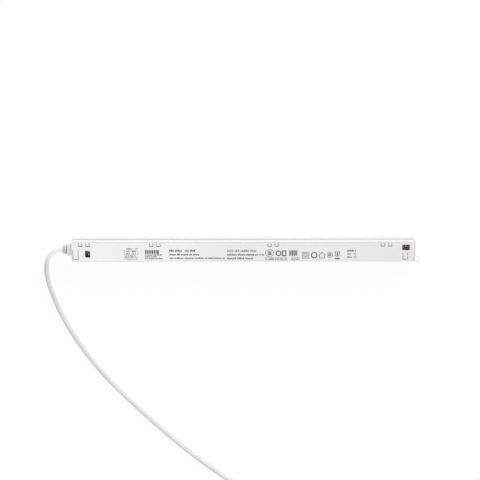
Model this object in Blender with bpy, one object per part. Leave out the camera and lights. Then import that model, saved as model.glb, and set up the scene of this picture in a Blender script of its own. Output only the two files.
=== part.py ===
# Slim linear lamp driver with its mains lead, as an assembly of separate pieces.
# The body lies along X. The mounting wall faces -Y, the lid faces +Y and the label face is up.
# The origin is on the back face, in the middle of the body's length and height.

import math

import bmesh
import bpy
from mathutils import Matrix, Vector

MM = 0.001

# Clearance between pieces that touch on the real object
GAP = 0.3 * MM
# How far a joined shape reaches into the one that it is joined to
BITE = 0.3 * MM

# Body
BODY_LENGTH = 300.0 * MM
BODY_HEIGHT = 18.0 * MM
BODY_DEPTH = 18.0 * MM
WALL = 1.3 * MM
EDGE_RADIUS = 0.9 * MM
RIB_THICKNESS = 1.2 * MM
RIB_HEIGHT = 1.2 * MM
RIB_PITCH = 42.0 * MM

# Lid
LID_THICKNESS = 1.8 * MM
LID_LIP = 0.6 * MM
LID_EDGE_RADIUS = 0.4 * MM
LID_GROOVE_WIDTH = 3.2 * MM
LID_GROOVE_DEPTH = 1.0 * MM
LID_GROOVE_DRAFT = 0.4 * MM
LID_RAIL_THICKNESS = 1.0 * MM
LID_RAIL_DEPTH = 2.4 * MM

# Snap tabs of the lid, in pairs, and the notches that they snap into
TAB_PITCH = 6.3 * MM
TAB_THICKNESS = 1.0 * MM
TAB_INSET = 0.1 * MM
TAB_LENGTH = 2.0 * MM
TAB_NECK_WIDTH = 2.2 * MM
TAB_HEAD_WIDTH = 3.2 * MM
TAB_HEAD_HEIGHT = 0.9 * MM
TAB_CHAMFER = 0.4 * MM
NOTCH_RELIEF = 0.6 * MM
TAB_PAIRS_FROM_INPUT_END = (10.9 * MM, 72.6 * MM)
TAB_PAIRS_FROM_OUTPUT_END = (124.3 * MM, 25.6 * MM)

# Latch tongues in the side walls, each cut free by a U-shaped slot. The bridge is the wall left above it.
LATCH_SLOT = 0.5 * MM
LATCH_RISE = 1.9 * MM
INPUT_LATCH_STATION = 3.3 * MM
INPUT_LATCH_WIDTH = 5.2 * MM
INPUT_LATCH_BRIDGE = 3.0 * MM
OUTPUT_LATCH_STATION = 8.9 * MM
OUTPUT_LATCH_WIDTH = 4.6 * MM
OUTPUT_LATCH_BRIDGE = 2.1 * MM
BARB_WIDTH = 2.6 * MM
BARB_HEIGHT = 1.4 * MM
BARB_DEPTH = 0.7 * MM
BARB_SETBACK = 0.4 * MM
RAMP_HEIGHT = 0.35 * MM

# Windows over the clamp screws, in the label face only. A margin is the wall left above, or above and below.
WINDOW_CORNER = 0.6 * MM
INPUT_WINDOW_STATION = 13.9 * MM
INPUT_WINDOW_WIDTH = 4.4 * MM
INPUT_WINDOW_MARGIN_ABOVE = 3.8 * MM
INPUT_WINDOW_MARGIN_BELOW = 3.0 * MM
OUTPUT_WINDOW_STATION = 8.5 * MM
OUTPUT_WINDOW_WIDTH = 6.5 * MM
OUTPUT_WINDOW_HEIGHT = 5.0 * MM
OUTPUT_WINDOW_MARGIN = 1.9 * MM

# End caps, each with two cheeks that plug in beside the side walls
END_PLATE = 1.2 * MM
CHEEK_THICKNESS = 1.2 * MM
INPUT_CHEEK_LENGTH = 9.0 * MM
OUTPUT_CHEEK_LENGTH = 12.0 * MM
OUTPUT_PORT_RADIUS = 3.2 * MM

# Mounting ear with an open screw slot
EAR_LENGTH = 4.8 * MM
EAR_THICKNESS = 1.5 * MM
EAR_SIDE_INSET = 0.6 * MM
EAR_CORNER = 2.4 * MM
EAR_SLOT_WIDTH = 3.6 * MM
EAR_SLOT_DEPTH = 3.2 * MM

# Cord
CORD_DIAMETER = 4.0 * MM
CORD_POINT_SPACING = 8.0 * MM
LEAD_STRAIGHT = 2.5 * MM

# Strain relief, moulded onto the cord
RELIEF_SIDE_CLEARANCE = 0.2 * MM
RELIEF_COLLAR_HEIGHT = 1.6 * MM
RELIEF_OUTSIDE_LENGTH = 8.5 * MM
RELIEF_INSIDE_LENGTH = 5.3 * MM
RELIEF_RIBS_AND_GROOVES = ((0.4 * MM, 1.2 * MM), (0.9 * MM, 1.7 * MM))
RELIEF_FLANGE_WIDTH = 1.1 * MM
RELIEF_CHAMFER = 0.35 * MM

# Cord clamps inside both ends
CLAMP_LENGTH = 7.6 * MM
CLAMP_POST_WIDTH = 3.0 * MM
CLAMP_SCREW_INSET = 1.6 * MM
CLAMP_BACK_INSET = 1.8 * MM
CLAMP_BAR_LENGTH = 4.8 * MM
CLAMP_BAR_THICKNESS = 1.0 * MM
INPUT_CLAMP_STATION = 14.6 * MM
OUTPUT_CLAMP_STATION = 8.0 * MM
SCREW_SHANK_RADIUS = 0.75 * MM
SCREW_SHANK_LENGTH = 6.0 * MM
SCREW_HEAD_RADIUS = 1.9 * MM
SCREW_HEAD_HEIGHT = 1.3 * MM
SCREW_RECESS_LENGTH = 2.3 * MM
SCREW_RECESS_WIDTH = 0.5 * MM
SCREW_RECESS_DEPTH = 0.6 * MM

# Circuit board
BOARD_THICKNESS = 1.6 * MM
BOARD_SIDE_CLEARANCE = 0.6 * MM
BOARD_END_CLEARANCE = 1.0 * MM
BOARD_SLOT_WIDTH = 1.2 * MM
BOARD_SLOT_LENGTH = 8.0 * MM
BOARD_SLOT_DISTANCE = 1.5 * MM
WIRE_ROOM = 3.0 * MM
LID_HEADROOM = 0.9 * MM

# Components on the board
TERMINAL_LENGTH = 9.0 * MM
TERMINAL_WIDTH = 10.0 * MM
TERMINAL_HEADROOM = 2.1 * MM
TERMINAL_POLE_PITCH = 5.0 * MM
TERMINAL_ENTRY_RADIUS = 1.2 * MM
TERMINAL_ENTRY_DEPTH = 3.0 * MM
TERMINAL_ENTRY_RISE = 3.0 * MM
TERMINAL_SCREW_RADIUS = 1.4 * MM
TERMINAL_SCREW_DEPTH = 1.6 * MM
CORE_RADIUS = 0.65 * MM
FUSE_LENGTH = 13.0 * MM
FUSE_RADIUS = 2.4 * MM
FUSE_CAP_LENGTH = 2.4 * MM
FUSE_CAP_STEP = 0.2 * MM
VARISTOR_HEADROOM = 1.8 * MM
VARISTOR_THICKNESS = 3.8 * MM
FILM_CAPACITOR_LENGTH = 13.0 * MM
FILM_CAPACITOR_WIDTH = 6.5 * MM
CHOKE_RADIUS = 5.4 * MM
CHOKE_RAIL_CLEARANCE = 0.6 * MM
CHOKE_FLANGE = 1.2 * MM
CHOKE_WAIST_RADIUS = 2.2 * MM
CHOKE_WINDING_INSET = 0.5 * MM
RECTIFIER_LENGTH = 8.5 * MM
RECTIFIER_WIDTH = 7.0 * MM
RECTIFIER_HEIGHT = 3.2 * MM
BULK_CAPACITOR_LENGTH = 20.0 * MM
OUTPUT_CAPACITOR_LENGTH = 16.0 * MM
OUTPUT_CAPACITOR_HEADROOM = 2.2 * MM
CAN_CRIMP_DISTANCE = 2.0 * MM
CAN_CRIMP_DEPTH = 0.35 * MM
TRANSISTOR_BODY_LENGTH = 9.2 * MM
TRANSISTOR_TAB_LENGTH = 6.2 * MM
TRANSISTOR_WIDTH = 10.0 * MM
TRANSISTOR_THICKNESS = 4.4 * MM
TRANSISTOR_TAB_THICKNESS = 1.3 * MM
TRANSISTOR_HOLE_RADIUS = 1.8 * MM
HEATSINK_THICKNESS = 1.2 * MM
HEATSINK_FLANGE = 7.5 * MM
CHIP_LENGTH = 5.0 * MM
CHIP_WIDTH = 4.0 * MM
CHIP_HEIGHT = 1.6 * MM
COUPLER_LENGTH = 6.4 * MM
COUPLER_WIDTH = 4.6 * MM
COUPLER_HEIGHT = 3.4 * MM
DISC_CAPACITOR_RADIUS = 3.6 * MM
DISC_CAPACITOR_THICKNESS = 3.0 * MM
TRANSFORMER_LENGTH = 20.0 * MM
TRANSFORMER_SIDE_CLEARANCE = 1.2 * MM
TRANSFORMER_YOKE = 2.6 * MM
BOBBIN_WALL = 0.6 * MM
BOBBIN_FLANGE = 0.8 * MM
WINDING_DEPTH = 1.2 * MM

# Free lead: the stretch up to the coil, by hand, in plan from the body's centre and with its height
LEAD_EXIT_HEIGHT = BODY_DEPTH / 2
COIL_CENTRE = (-9.1 * MM, -266.0 * MM)
COIL_INNER_TURN_RADIUS = 15.7 * MM
COIL_LOWER_TURNS = 5
COIL_UPPER_TURNS = 4
COIL_PITCH = 4.05 * MM
COIL_ENTRY_ANGLE = math.radians(52.3)
COIL_EXIT_ANGLE = math.radians(80.0)
TIE_THICKNESS = 0.6 * MM
TIE_WIDTH = 5.0 * MM
TIE_CLEARANCE = 0.4 * MM
TIE_ANGLE = math.radians(215.0)

# Plug
PLUG_PLACE = (52.0 * MM, -248.3 * MM)
PLUG_HEADING = math.radians(-9.0)
PLUG_LENGTH = 35.0 * MM
PLUG_FACE_WIDTH = 35.3 * MM
PLUG_WAIST_WIDTH = 24.0 * MM
PLUG_TAIL_WIDTH = 14.0 * MM
PLUG_THICKNESS = 13.6 * MM
PLUG_EDGE = 2.4 * MM
PLUG_CORNER = 3.0 * MM
PIN_SPACING = 19.0 * MM
PIN_RADIUS = 2.0 * MM
PIN_LENGTH = 19.0 * MM
PIN_SLEEVE_LENGTH = 10.0 * MM
PIN_SLEEVE_STEP = 0.15 * MM
PLUG_RELIEF_LENGTH = 22.0 * MM
PLUG_RELIEF_ROOT_RADIUS = 5.0 * MM
PLUG_RELIEF_TIP_RADIUS = 3.0 * MM
PLUG_RELIEF_GROOVES = 5
PLUG_RELIEF_GROOVE_DEPTH = 0.7 * MM

# Planes and places that follow from the sizes above
X_INPUT = -BODY_LENGTH / 2
X_OUTPUT = BODY_LENGTH / 2
X_CHANNEL_END = X_OUTPUT - END_PLATE - GAP
Y_BASE = -BODY_HEIGHT / 2
Y_TOP = BODY_HEIGHT / 2
Y_FLOOR = Y_BASE + WALL
Y_LID = Y_TOP - LID_THICKNESS
Y_LIP = Y_TOP - LID_LIP
Y_RIM = Y_LIP - GAP
Y_NOTCH = Y_LID - TAB_LENGTH - NOTCH_RELIEF
Y_WINDOW_TOP = Y_RIM - OUTPUT_WINDOW_MARGIN
Y_WINDOW_BOTTOM = Y_WINDOW_TOP - OUTPUT_WINDOW_HEIGHT
Z_MIDDLE = BODY_DEPTH / 2
CORD_RADIUS = CORD_DIAMETER / 2
CHEEK_INSIDE = WALL + GAP + CHEEK_THICKNESS
RELIEF_COLLAR_RADIUS = min(BODY_HEIGHT, BODY_DEPTH) / 2 - CHEEK_INSIDE - RELIEF_SIDE_CLEARANCE
RELIEF_WAIST_RADIUS = RELIEF_COLLAR_RADIUS - RELIEF_COLLAR_HEIGHT
CLAMP_HALF_HEIGHT = CORD_RADIUS + GAP + CLAMP_POST_WIDTH
CLAMP_SCREW_OFFSET = CLAMP_HALF_HEIGHT - CLAMP_SCREW_INSET
Y_BOARD_BOTTOM = Y_FLOOR + RIB_HEIGHT + GAP
Y_BOARD_TOP = Y_BOARD_BOTTOM + BOARD_THICKNESS
Y_PARTS = Y_BOARD_TOP + GAP
PART_HEADROOM = Y_LID - LID_HEADROOM - Y_PARTS
POWER_DEVICE_LENGTH = HEATSINK_THICKNESS + GAP + TRANSISTOR_TAB_LENGTH + TRANSISTOR_BODY_LENGTH
COIL_LOWER_TURN_RADIUS = COIL_INNER_TURN_RADIUS + COIL_PITCH * (COIL_LOWER_TURNS - 1)
COIL_UPPER_TURN_RADIUS = COIL_INNER_TURN_RADIUS + COIL_PITCH * (COIL_UPPER_TURNS - 1)
COIL_INSIDE_RADIUS = COIL_INNER_TURN_RADIUS - CORD_RADIUS
COIL_OUTSIDE_RADIUS = COIL_LOWER_TURN_RADIUS + CORD_RADIUS
COIL_BOTTOM = TIE_THICKNESS + TIE_CLEARANCE
COIL_STEP = COIL_BOTTOM + CORD_DIAMETER
COIL_TOP = COIL_STEP + COIL_PITCH
Z_PLUG = PLUG_THICKNESS / 2

# Colour, roughness and metallic value of each material
FINISHES = {
    "housing_white": ((0.84, 0.84, 0.835), 0.42, 0.0),
    "cord_white": ((0.80, 0.80, 0.79), 0.5, 0.0),
    "clamp_brown": ((0.055, 0.028, 0.026), 0.4, 0.0),
    "screw_bronze": ((0.25, 0.13, 0.12), 0.35, 0.9),
    "board_tan": ((0.42, 0.24, 0.10), 0.6, 0.0),
    "terminal_green": ((0.05, 0.22, 0.10), 0.5, 0.0),
    "core_brown": ((0.16, 0.06, 0.03), 0.5, 0.0),
    "core_blue": ((0.03, 0.10, 0.35), 0.5, 0.0),
    "component_black": ((0.02, 0.02, 0.022), 0.5, 0.0),
    "component_blue": ((0.04, 0.14, 0.42), 0.4, 0.0),
    "component_yellow": ((0.70, 0.50, 0.06), 0.5, 0.0),
    "ferrite": ((0.05, 0.05, 0.055), 0.75, 0.0),
    "copper": ((0.62, 0.24, 0.10), 0.35, 1.0),
    "aluminium": ((0.72, 0.72, 0.74), 0.35, 1.0),
    "tinned": ((0.70, 0.70, 0.68), 0.3, 1.0),
    "ceramic": ((0.62, 0.56, 0.46), 0.6, 0.0),
}

materials = {}


# Materials
def material(finish):
    if finish not in materials:
        colour, roughness, metallic = FINISHES[finish]
        made = bpy.data.materials.new(finish)
        made.use_nodes = True
        shader = made.node_tree.nodes["Principled BSDF"]
        shader.inputs["Base Color"].default_value = (*colour, 1.0)
        shader.inputs["Roughness"].default_value = roughness
        shader.inputs["Metallic"].default_value = metallic
        materials[finish] = made
    return materials[finish]


# Shape tools
def node(name, shape, finish, smooth_angle=None):
    """Make the object of one piece from a bmesh."""
    bmesh.ops.recalc_face_normals(shape, faces=shape.faces)
    mesh = bpy.data.meshes.new(name)
    shape.to_mesh(mesh)
    shape.free()
    mesh.materials.append(material(finish))
    if smooth_angle is not None:
        mesh.shade_smooth()
        mesh.set_sharp_from_angle(angle=math.radians(smooth_angle))
    piece = bpy.data.objects.new(name, mesh)
    bpy.context.scene.collection.objects.link(piece)
    return piece


def helper(name, shape):
    """Make an object that only cuts or joins, and isn't a piece."""
    tool = node(name, shape, "housing_white")
    tool.hide_render = True
    tool.display_type = 'WIRE'
    return tool


def combine(piece, tool, operation):
    """Join a helper to a piece, or cut it away, with a Boolean modifier."""
    modifier = piece.modifiers.new(tool.name, 'BOOLEAN')
    modifier.operation = operation
    modifier.solver = 'EXACT'
    modifier.object = tool


def add_block(shape, low, high, radius=0.0, segments=2):
    """Add a box between two corners, with all its edges rounded if a radius is given."""
    size = [b - a for a, b in zip(low, high)]
    middle = [(a + b) / 2 for a, b in zip(low, high)]
    place = Matrix.Translation(middle) @ Matrix.Diagonal((*size, 1.0))
    made = bmesh.ops.create_cube(shape, size=1.0, matrix=place)
    if radius > 0.0:
        edges = {edge for vert in made["verts"] for edge in vert.link_edges}
        bmesh.ops.bevel(shape, geom=list(edges), offset=radius, offset_type='OFFSET', affect='EDGES',
                        segments=segments, profile=0.5, material=-1, clamp_overlap=True)


def add_prism(shape, outline, axis, start, end):
    """Add an outline drawn across an axis, extruded along that axis from start to end."""
    places = {
        'X': lambda a, b: (start, a, b),
        'Y': lambda a, b: (a, start, b),
        'Z': lambda a, b: (a, b, start),
    }
    step = {'X': (end - start, 0, 0), 'Y': (0, end - start, 0), 'Z': (0, 0, end - start)}
    verts = [shape.verts.new(places[axis](a, b)) for a, b in outline]
    face = shape.faces.new(verts)
    grown = bmesh.ops.extrude_face_region(shape, geom=[face])
    moved = [item for item in grown["geom"] if isinstance(item, bmesh.types.BMVert)]
    bmesh.ops.translate(shape, verts=moved, vec=step[axis])


def add_turned(shape, profile, place, steps):
    """Add a profile of (along, radius) points turned about local X and put at a place."""
    verts = [shape.verts.new((along, radius, 0.0)) for along, radius in profile]
    edges = [shape.edges.new(pair) for pair in zip(verts, verts[1:])]
    if profile[0][1] > 0.0:
        edges.append(shape.edges.new((verts[-1], verts[0])))
    made = bmesh.ops.spin(shape, geom=verts + edges, cent=(0, 0, 0), axis=(1, 0, 0), dvec=(0, 0, 0),
                          angle=2 * math.pi, steps=steps, use_merge=True, use_duplicate=False)
    last = [item for item in made["geom_last"] if isinstance(item, bmesh.types.BMVert)]
    island = reachable(verts + last)
    bmesh.ops.remove_doubles(shape, verts=island, dist=0.01 * MM)
    island = reachable([vert for vert in island if vert.is_valid])
    bmesh.ops.transform(shape, matrix=place, verts=island)


def reachable(seeds):
    """All vertices connected to the given ones."""
    found = set(seeds)
    waiting = list(seeds)
    while waiting:
        for edge in waiting.pop().link_edges:
            for vert in edge.verts:
                if vert not in found:
                    found.add(vert)
                    waiting.append(vert)
    return list(found)


def along_x(x, y, z):
    return Matrix.Translation((x, y, z))


def along_y(x, y, z):
    return Matrix.Translation((x, y, z)) @ Matrix.Rotation(math.pi / 2, 4, 'Z')


def along_z(x, y, z):
    return Matrix.Translation((x, y, z)) @ Matrix.Rotation(-math.pi / 2, 4, 'Y')


def arc(centre, radius, start, end, segments):
    """Points of an arc, in degrees, both ends included."""
    turn = [math.radians(start + (end - start) * i / segments) for i in range(segments + 1)]
    return [(centre[0] + radius * math.cos(a), centre[1] + radius * math.sin(a)) for a in turn]


def rounded_rectangle(centre, width, height, corner, segments=3):
    """Outline of a rectangle with round corners."""
    a = width / 2 - corner
    b = height / 2 - corner
    outline = []
    for index, (sx, sy) in enumerate(((1, 1), (-1, 1), (-1, -1), (1, -1))):
        middle = (centre[0] + sx * a, centre[1] + sy * b)
        outline += arc(middle, corner, 90 * index, 90 * index + 90, segments)
    return outline


# Places along the body
def from_input(distance):
    return X_INPUT + distance


def from_output(distance):
    return X_OUTPUT - distance


def tab_places():
    """X of every snap tab of the lid on one side."""
    pairs = [from_input(d) for d in TAB_PAIRS_FROM_INPUT_END]
    pairs += [from_output(d) for d in TAB_PAIRS_FROM_OUTPUT_END]
    return [x + side * TAB_PITCH / 2 for x in pairs for side in (-1, 1)]


def latches():
    """X, width and top of the latch tongue slot at each end: one under a notch, one under a window."""
    return ((from_input(INPUT_LATCH_STATION), INPUT_LATCH_WIDTH, Y_NOTCH - INPUT_LATCH_BRIDGE),
            (from_output(OUTPUT_LATCH_STATION), OUTPUT_LATCH_WIDTH, Y_WINDOW_BOTTOM - OUTPUT_LATCH_BRIDGE))


def windows():
    """X, width, bottom and top of the window over each clamp."""
    return ((from_input(INPUT_WINDOW_STATION), INPUT_WINDOW_WIDTH, Y_FLOOR + INPUT_WINDOW_MARGIN_BELOW,
             Y_NOTCH - INPUT_WINDOW_MARGIN_ABOVE),
            (from_output(OUTPUT_WINDOW_STATION), OUTPUT_WINDOW_WIDTH, Y_WINDOW_BOTTOM, Y_WINDOW_TOP))


def barb_low():
    """Height along Y at which the barb of a latch tongue starts."""
    return Y_BASE + LATCH_RISE + LATCH_SLOT + BARB_SETBACK


# Housing: a channel with a mounting wall and two side walls
def channel_outline():
    """Section of the channel in (y, z)."""
    radius = EDGE_RADIUS
    outline = [(Y_RIM, 0.0)]
    outline += arc((Y_BASE + radius, radius), radius, 270, 180, 3)
    outline += arc((Y_BASE + radius, BODY_DEPTH - radius), radius, 180, 90, 3)
    outline += [(Y_RIM, BODY_DEPTH), (Y_RIM, BODY_DEPTH - WALL), (Y_FLOOR, BODY_DEPTH - WALL)]
    outline += [(Y_FLOOR, WALL), (Y_RIM, WALL)]
    return outline


def side_walls():
    """The Z range that cuts through each side wall: back, then label side."""
    return ((-WALL, WALL + BITE), (BODY_DEPTH - WALL - BITE, BODY_DEPTH + WALL))


def latch_slot_outline(x, width, high):
    """U-shaped slot, closed at its lower end, around a latch tongue."""
    left = x - width / 2
    right = x + width / 2
    low = Y_BASE + LATCH_RISE
    slot = LATCH_SLOT
    return [(left, high), (left, low), (right, low), (right, high),
            (right - slot, high), (right - slot, low + slot), (left + slot, low + slot), (left + slot, high)]


def notch_outline(x):
    """Notch in the rim of a side wall: a neck, and a wider pocket below for the tab's head."""
    neck = TAB_NECK_WIDTH / 2 + GAP
    pocket = TAB_HEAD_WIDTH / 2 + GAP
    low = Y_NOTCH
    shoulder = Y_LID - TAB_LENGTH + TAB_HEAD_HEIGHT + GAP
    high = Y_RIM + BITE
    return [(x - neck, high), (x - neck, shoulder), (x - pocket, shoulder), (x - pocket, low),
            (x + pocket, low), (x + pocket, shoulder), (x + neck, shoulder), (x + neck, high)]


def latch_barbs():
    """Wedges inside both side walls, near the free end of each latch tongue, and the outer ramps."""
    barbs = bmesh.new()
    low = barb_low()
    high = low + BARB_HEIGHT
    for x, _, _ in latches():
        for inner, outward in ((WALL, -1), (BODY_DEPTH - WALL, 1)):
            root = inner + outward * BITE
            tip = inner - outward * BARB_DEPTH
            wedge = [(high, root), (high, tip), (low, inner - outward * GAP / 3), (low, root)]
            add_prism(barbs, wedge, 'X', x - BARB_WIDTH / 2, x + BARB_WIDTH / 2)
        face = BODY_DEPTH
        ramp = [(low - GAP, face - BITE), (high, face - BITE), (high, face + GAP / 3),
                (low, face + RAMP_HEIGHT), (low - GAP, face + RAMP_HEIGHT)]
        add_prism(barbs, ramp, 'X', x - BARB_WIDTH / 2, x + BARB_WIDTH / 2)
    return helper("latch_barbs", barbs)


def board_ribs():
    """Cross ribs on the mounting wall that carry the circuit board."""
    ribs = bmesh.new()
    start, end = board_ends()
    count = int((end - start - RIB_PITCH / 2) / RIB_PITCH) + 1
    first = (start + end - (count - 1) * RIB_PITCH) / 2
    for index in range(count):
        x = first + index * RIB_PITCH
        add_block(ribs, (x - RIB_THICKNESS / 2, Y_FLOOR - BITE, WALL - BITE),
                  (x + RIB_THICKNESS / 2, Y_FLOOR + RIB_HEIGHT, BODY_DEPTH - WALL + BITE))
    return helper("board_ribs", ribs)


def housing_cuts():
    """Latch slots and notches in both side walls, and the two windows in the label face."""
    cuts = bmesh.new()
    for low, high in side_walls():
        for latch in latches():
            add_prism(cuts, latch_slot_outline(*latch), 'Z', low, high)
        for x in tab_places():
            add_prism(cuts, notch_outline(x), 'Z', low, high)
    low, high = side_walls()[1]
    for x, width, bottom, top in windows():
        outline = rounded_rectangle((x, (bottom + top) / 2), width, top - bottom, WINDOW_CORNER)
        add_prism(cuts, outline, 'Z', low, high)
    return helper("housing_cuts", cuts)


def make_housing():
    channel = bmesh.new()
    add_prism(channel, channel_outline(), 'X', X_INPUT, X_CHANNEL_END)
    housing = node("housing_base", channel, "housing_white")
    combine(housing, board_ribs(), 'UNION')
    combine(housing, latch_barbs(), 'UNION')
    combine(housing, housing_cuts(), 'DIFFERENCE')


# Lid: a grooved plate with inner rails and snap tabs
def lid_outline():
    """Section of the lid's plate in (y, z): lips over the side walls, and the long groove down its middle."""
    radius = LID_EDGE_RADIUS
    inner = WALL + GAP
    half = LID_GROOVE_WIDTH / 2
    foot = half - LID_GROOVE_DRAFT
    floor = Y_TOP - LID_GROOVE_DEPTH
    outline = [(Y_LID, inner), (Y_LIP, inner), (Y_LIP, 0.0)]
    outline += arc((Y_TOP - radius, radius), radius, 270, 360, 3)
    outline += [(Y_TOP, Z_MIDDLE - half), (floor, Z_MIDDLE - foot)]
    outline += [(floor, Z_MIDDLE + foot), (Y_TOP, Z_MIDDLE + half)]
    outline += arc((Y_TOP - radius, BODY_DEPTH - radius), radius, 0, 90, 3)
    outline += [(Y_LIP, BODY_DEPTH), (Y_LIP, BODY_DEPTH - inner), (Y_LID, BODY_DEPTH - inner)]
    return outline


def tab_outline(x):
    """T-shaped snap tab that hangs from the lid, with a chamfered head."""
    neck = TAB_NECK_WIDTH / 2
    head = TAB_HEAD_WIDTH / 2
    low = Y_LID - TAB_LENGTH
    shoulder = low + TAB_HEAD_HEIGHT
    high = Y_LIP + BITE
    return [(x - neck, high), (x - neck, shoulder), (x - head, shoulder), (x - head, low + TAB_CHAMFER),
            (x - head + TAB_CHAMFER, low), (x + head - TAB_CHAMFER, low), (x + head, low + TAB_CHAMFER),
            (x + head, shoulder), (x + neck, shoulder), (x + neck, high)]


def make_lid():
    plate = bmesh.new()
    add_prism(plate, lid_outline(), 'X', X_INPUT, X_CHANNEL_END)
    lid = node("housing_lid", plate, "housing_white")
    extras = bmesh.new()
    start, end = board_ends()
    for near in (WALL + GAP, BODY_DEPTH - WALL - GAP - LID_RAIL_THICKNESS):
        add_block(extras, (start, Y_LID - LID_RAIL_DEPTH, near),
                  (end, Y_LID + BITE, near + LID_RAIL_THICKNESS))
    for low in (TAB_INSET, BODY_DEPTH - TAB_INSET - TAB_THICKNESS):
        for x in tab_places():
            add_prism(extras, tab_outline(x), 'Z', low, low + TAB_THICKNESS)
    combine(lid, helper("lid_rails_and_tabs", extras), 'UNION')


# End caps
def add_cheeks(shape, start, end, high):
    """Two cheeks between the side walls, from the mounting wall up to a given height."""
    for near in (WALL + GAP, BODY_DEPTH - CHEEK_INSIDE):
        add_block(shape, (start, Y_FLOOR + GAP, near), (end, high, near + CHEEK_THICKNESS))


def cap_cuts(name, latch_x, bore_x, bore_radius):
    """Pockets for the latch barbs in the cheeks, and the round hole through the end plate."""
    cuts = bmesh.new()
    low = barb_low() - GAP
    high = low + BARB_HEIGHT + 2 * GAP
    reach = BARB_WIDTH / 2 + GAP
    for wall in (WALL, BODY_DEPTH - CHEEK_INSIDE - GAP):
        add_block(cuts, (latch_x - reach, low, wall),
                  (latch_x + reach, high, wall + CHEEK_THICKNESS + 2 * GAP))
    bore = [(-END_PLATE, 0.0), (-END_PLATE, bore_radius), (2 * END_PLATE, bore_radius), (2 * END_PLATE, 0.0)]
    add_turned(cuts, bore, along_x(bore_x, 0.0, LEAD_EXIT_HEIGHT), 24)
    return helper(name, cuts)


def make_input_cap():
    """End cap that sits inside the channel and holds the strain relief."""
    plate = bmesh.new()
    add_block(plate, (X_INPUT, Y_FLOOR + GAP, WALL + GAP),
              (X_INPUT + END_PLATE, Y_LID - GAP, BODY_DEPTH - WALL - GAP))
    cap = node("input_end_cap", plate, "housing_white", 40)
    cheeks = bmesh.new()
    inner = X_INPUT + END_PLATE
    add_cheeks(cheeks, inner - BITE, inner + INPUT_CHEEK_LENGTH, Y_NOTCH - GAP)
    combine(cap, helper("input_cheeks", cheeks), 'UNION')
    cuts = cap_cuts("input_cap_cuts", from_input(INPUT_LATCH_STATION), X_INPUT, RELIEF_WAIST_RADIUS + GAP)
    combine(cap, cuts, 'DIFFERENCE')


def ear_outline():
    """Mounting ear in (x, z), with round corners and a screw slot open at its end."""
    tip = X_OUTPUT + EAR_LENGTH
    low = EAR_SIDE_INSET
    high = BODY_DEPTH - EAR_SIDE_INSET
    corner = EAR_CORNER
    half = EAR_SLOT_WIDTH / 2
    slot_centre = tip - EAR_SLOT_DEPTH + half
    root = X_OUTPUT - END_PLATE / 2
    outline = [(root, low)]
    outline += arc((tip - corner, low + corner), corner, 270, 360, 4)
    outline += [(tip, Z_MIDDLE - half)]
    outline += arc((slot_centre, Z_MIDDLE), half, 270, 90, 8)
    outline += [(tip, Z_MIDDLE + half)]
    outline += arc((tip - corner, high - corner), corner, 0, 90, 4)
    outline += [(root, high)]
    return outline


def make_output_cap():
    """End cap that covers the channel's end, with the mounting ear and the port for the lamp's lead."""
    plate = bmesh.new()
    inner = X_OUTPUT - END_PLATE
    outline = rounded_rectangle((0.0, Z_MIDDLE), BODY_HEIGHT, BODY_DEPTH, EDGE_RADIUS)
    add_prism(plate, outline, 'X', inner, X_OUTPUT)
    cap = node("output_end_cap", plate, "housing_white", 40)
    extras = bmesh.new()
    add_cheeks(extras, inner - OUTPUT_CHEEK_LENGTH, inner + BITE, Y_WINDOW_BOTTOM - 2 * GAP)
    add_prism(extras, ear_outline(), 'Y', Y_BASE, Y_BASE + EAR_THICKNESS)
    combine(cap, helper("output_cheeks_and_ear", extras), 'UNION')
    cuts = cap_cuts("output_cap_cuts", from_output(OUTPUT_LATCH_STATION), inner, OUTPUT_PORT_RADIUS)
    combine(cap, cuts, 'DIFFERENCE')


# Strain relief: ribbed outside, a waist in the end plate and a short barrel inside
def make_strain_relief():
    collar = RELIEF_COLLAR_RADIUS
    waist = RELIEF_WAIST_RADIUS
    chamfer = RELIEF_CHAMFER
    nose = X_INPUT - RELIEF_OUTSIDE_LENGTH
    plate_side = X_INPUT - GAP
    inner_side = X_INPUT + END_PLATE + GAP
    tail = X_INPUT + END_PLATE + RELIEF_INSIDE_LENGTH
    profile = [(nose, 0.0)]
    start = nose
    for rib, groove in RELIEF_RIBS_AND_GROOVES:
        profile += [(start, waist), (start, collar - chamfer), (start + rib, collar - chamfer),
                    (start + rib, waist)]
        start += rib + groove
    profile += [(start, waist), (start, collar), (plate_side, collar), (plate_side, waist)]
    flange_end = inner_side + RELIEF_FLANGE_WIDTH
    profile += [(inner_side, waist), (inner_side, collar), (flange_end, collar - chamfer),
                (flange_end, waist), (tail, CORD_RADIUS + chamfer), (tail, 0.0)]
    relief = bmesh.new()
    add_turned(relief, profile, along_x(0.0, 0.0, LEAD_EXIT_HEIGHT), 24)
    node("strain_relief", relief, "cord_white", 35)


# Cord clamps: a block with a channel for the cord, a bar across it and two screws
def clamp_levels():
    """Z of the channel's floor, the posts' top, the bar's top and the screw heads' seat."""
    channel = LEAD_EXIT_HEIGHT - CORD_RADIUS - GAP
    posts = LEAD_EXIT_HEIGHT + CORD_RADIUS
    bar = posts + GAP + CLAMP_BAR_THICKNESS
    return channel, posts, bar, bar + GAP


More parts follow.
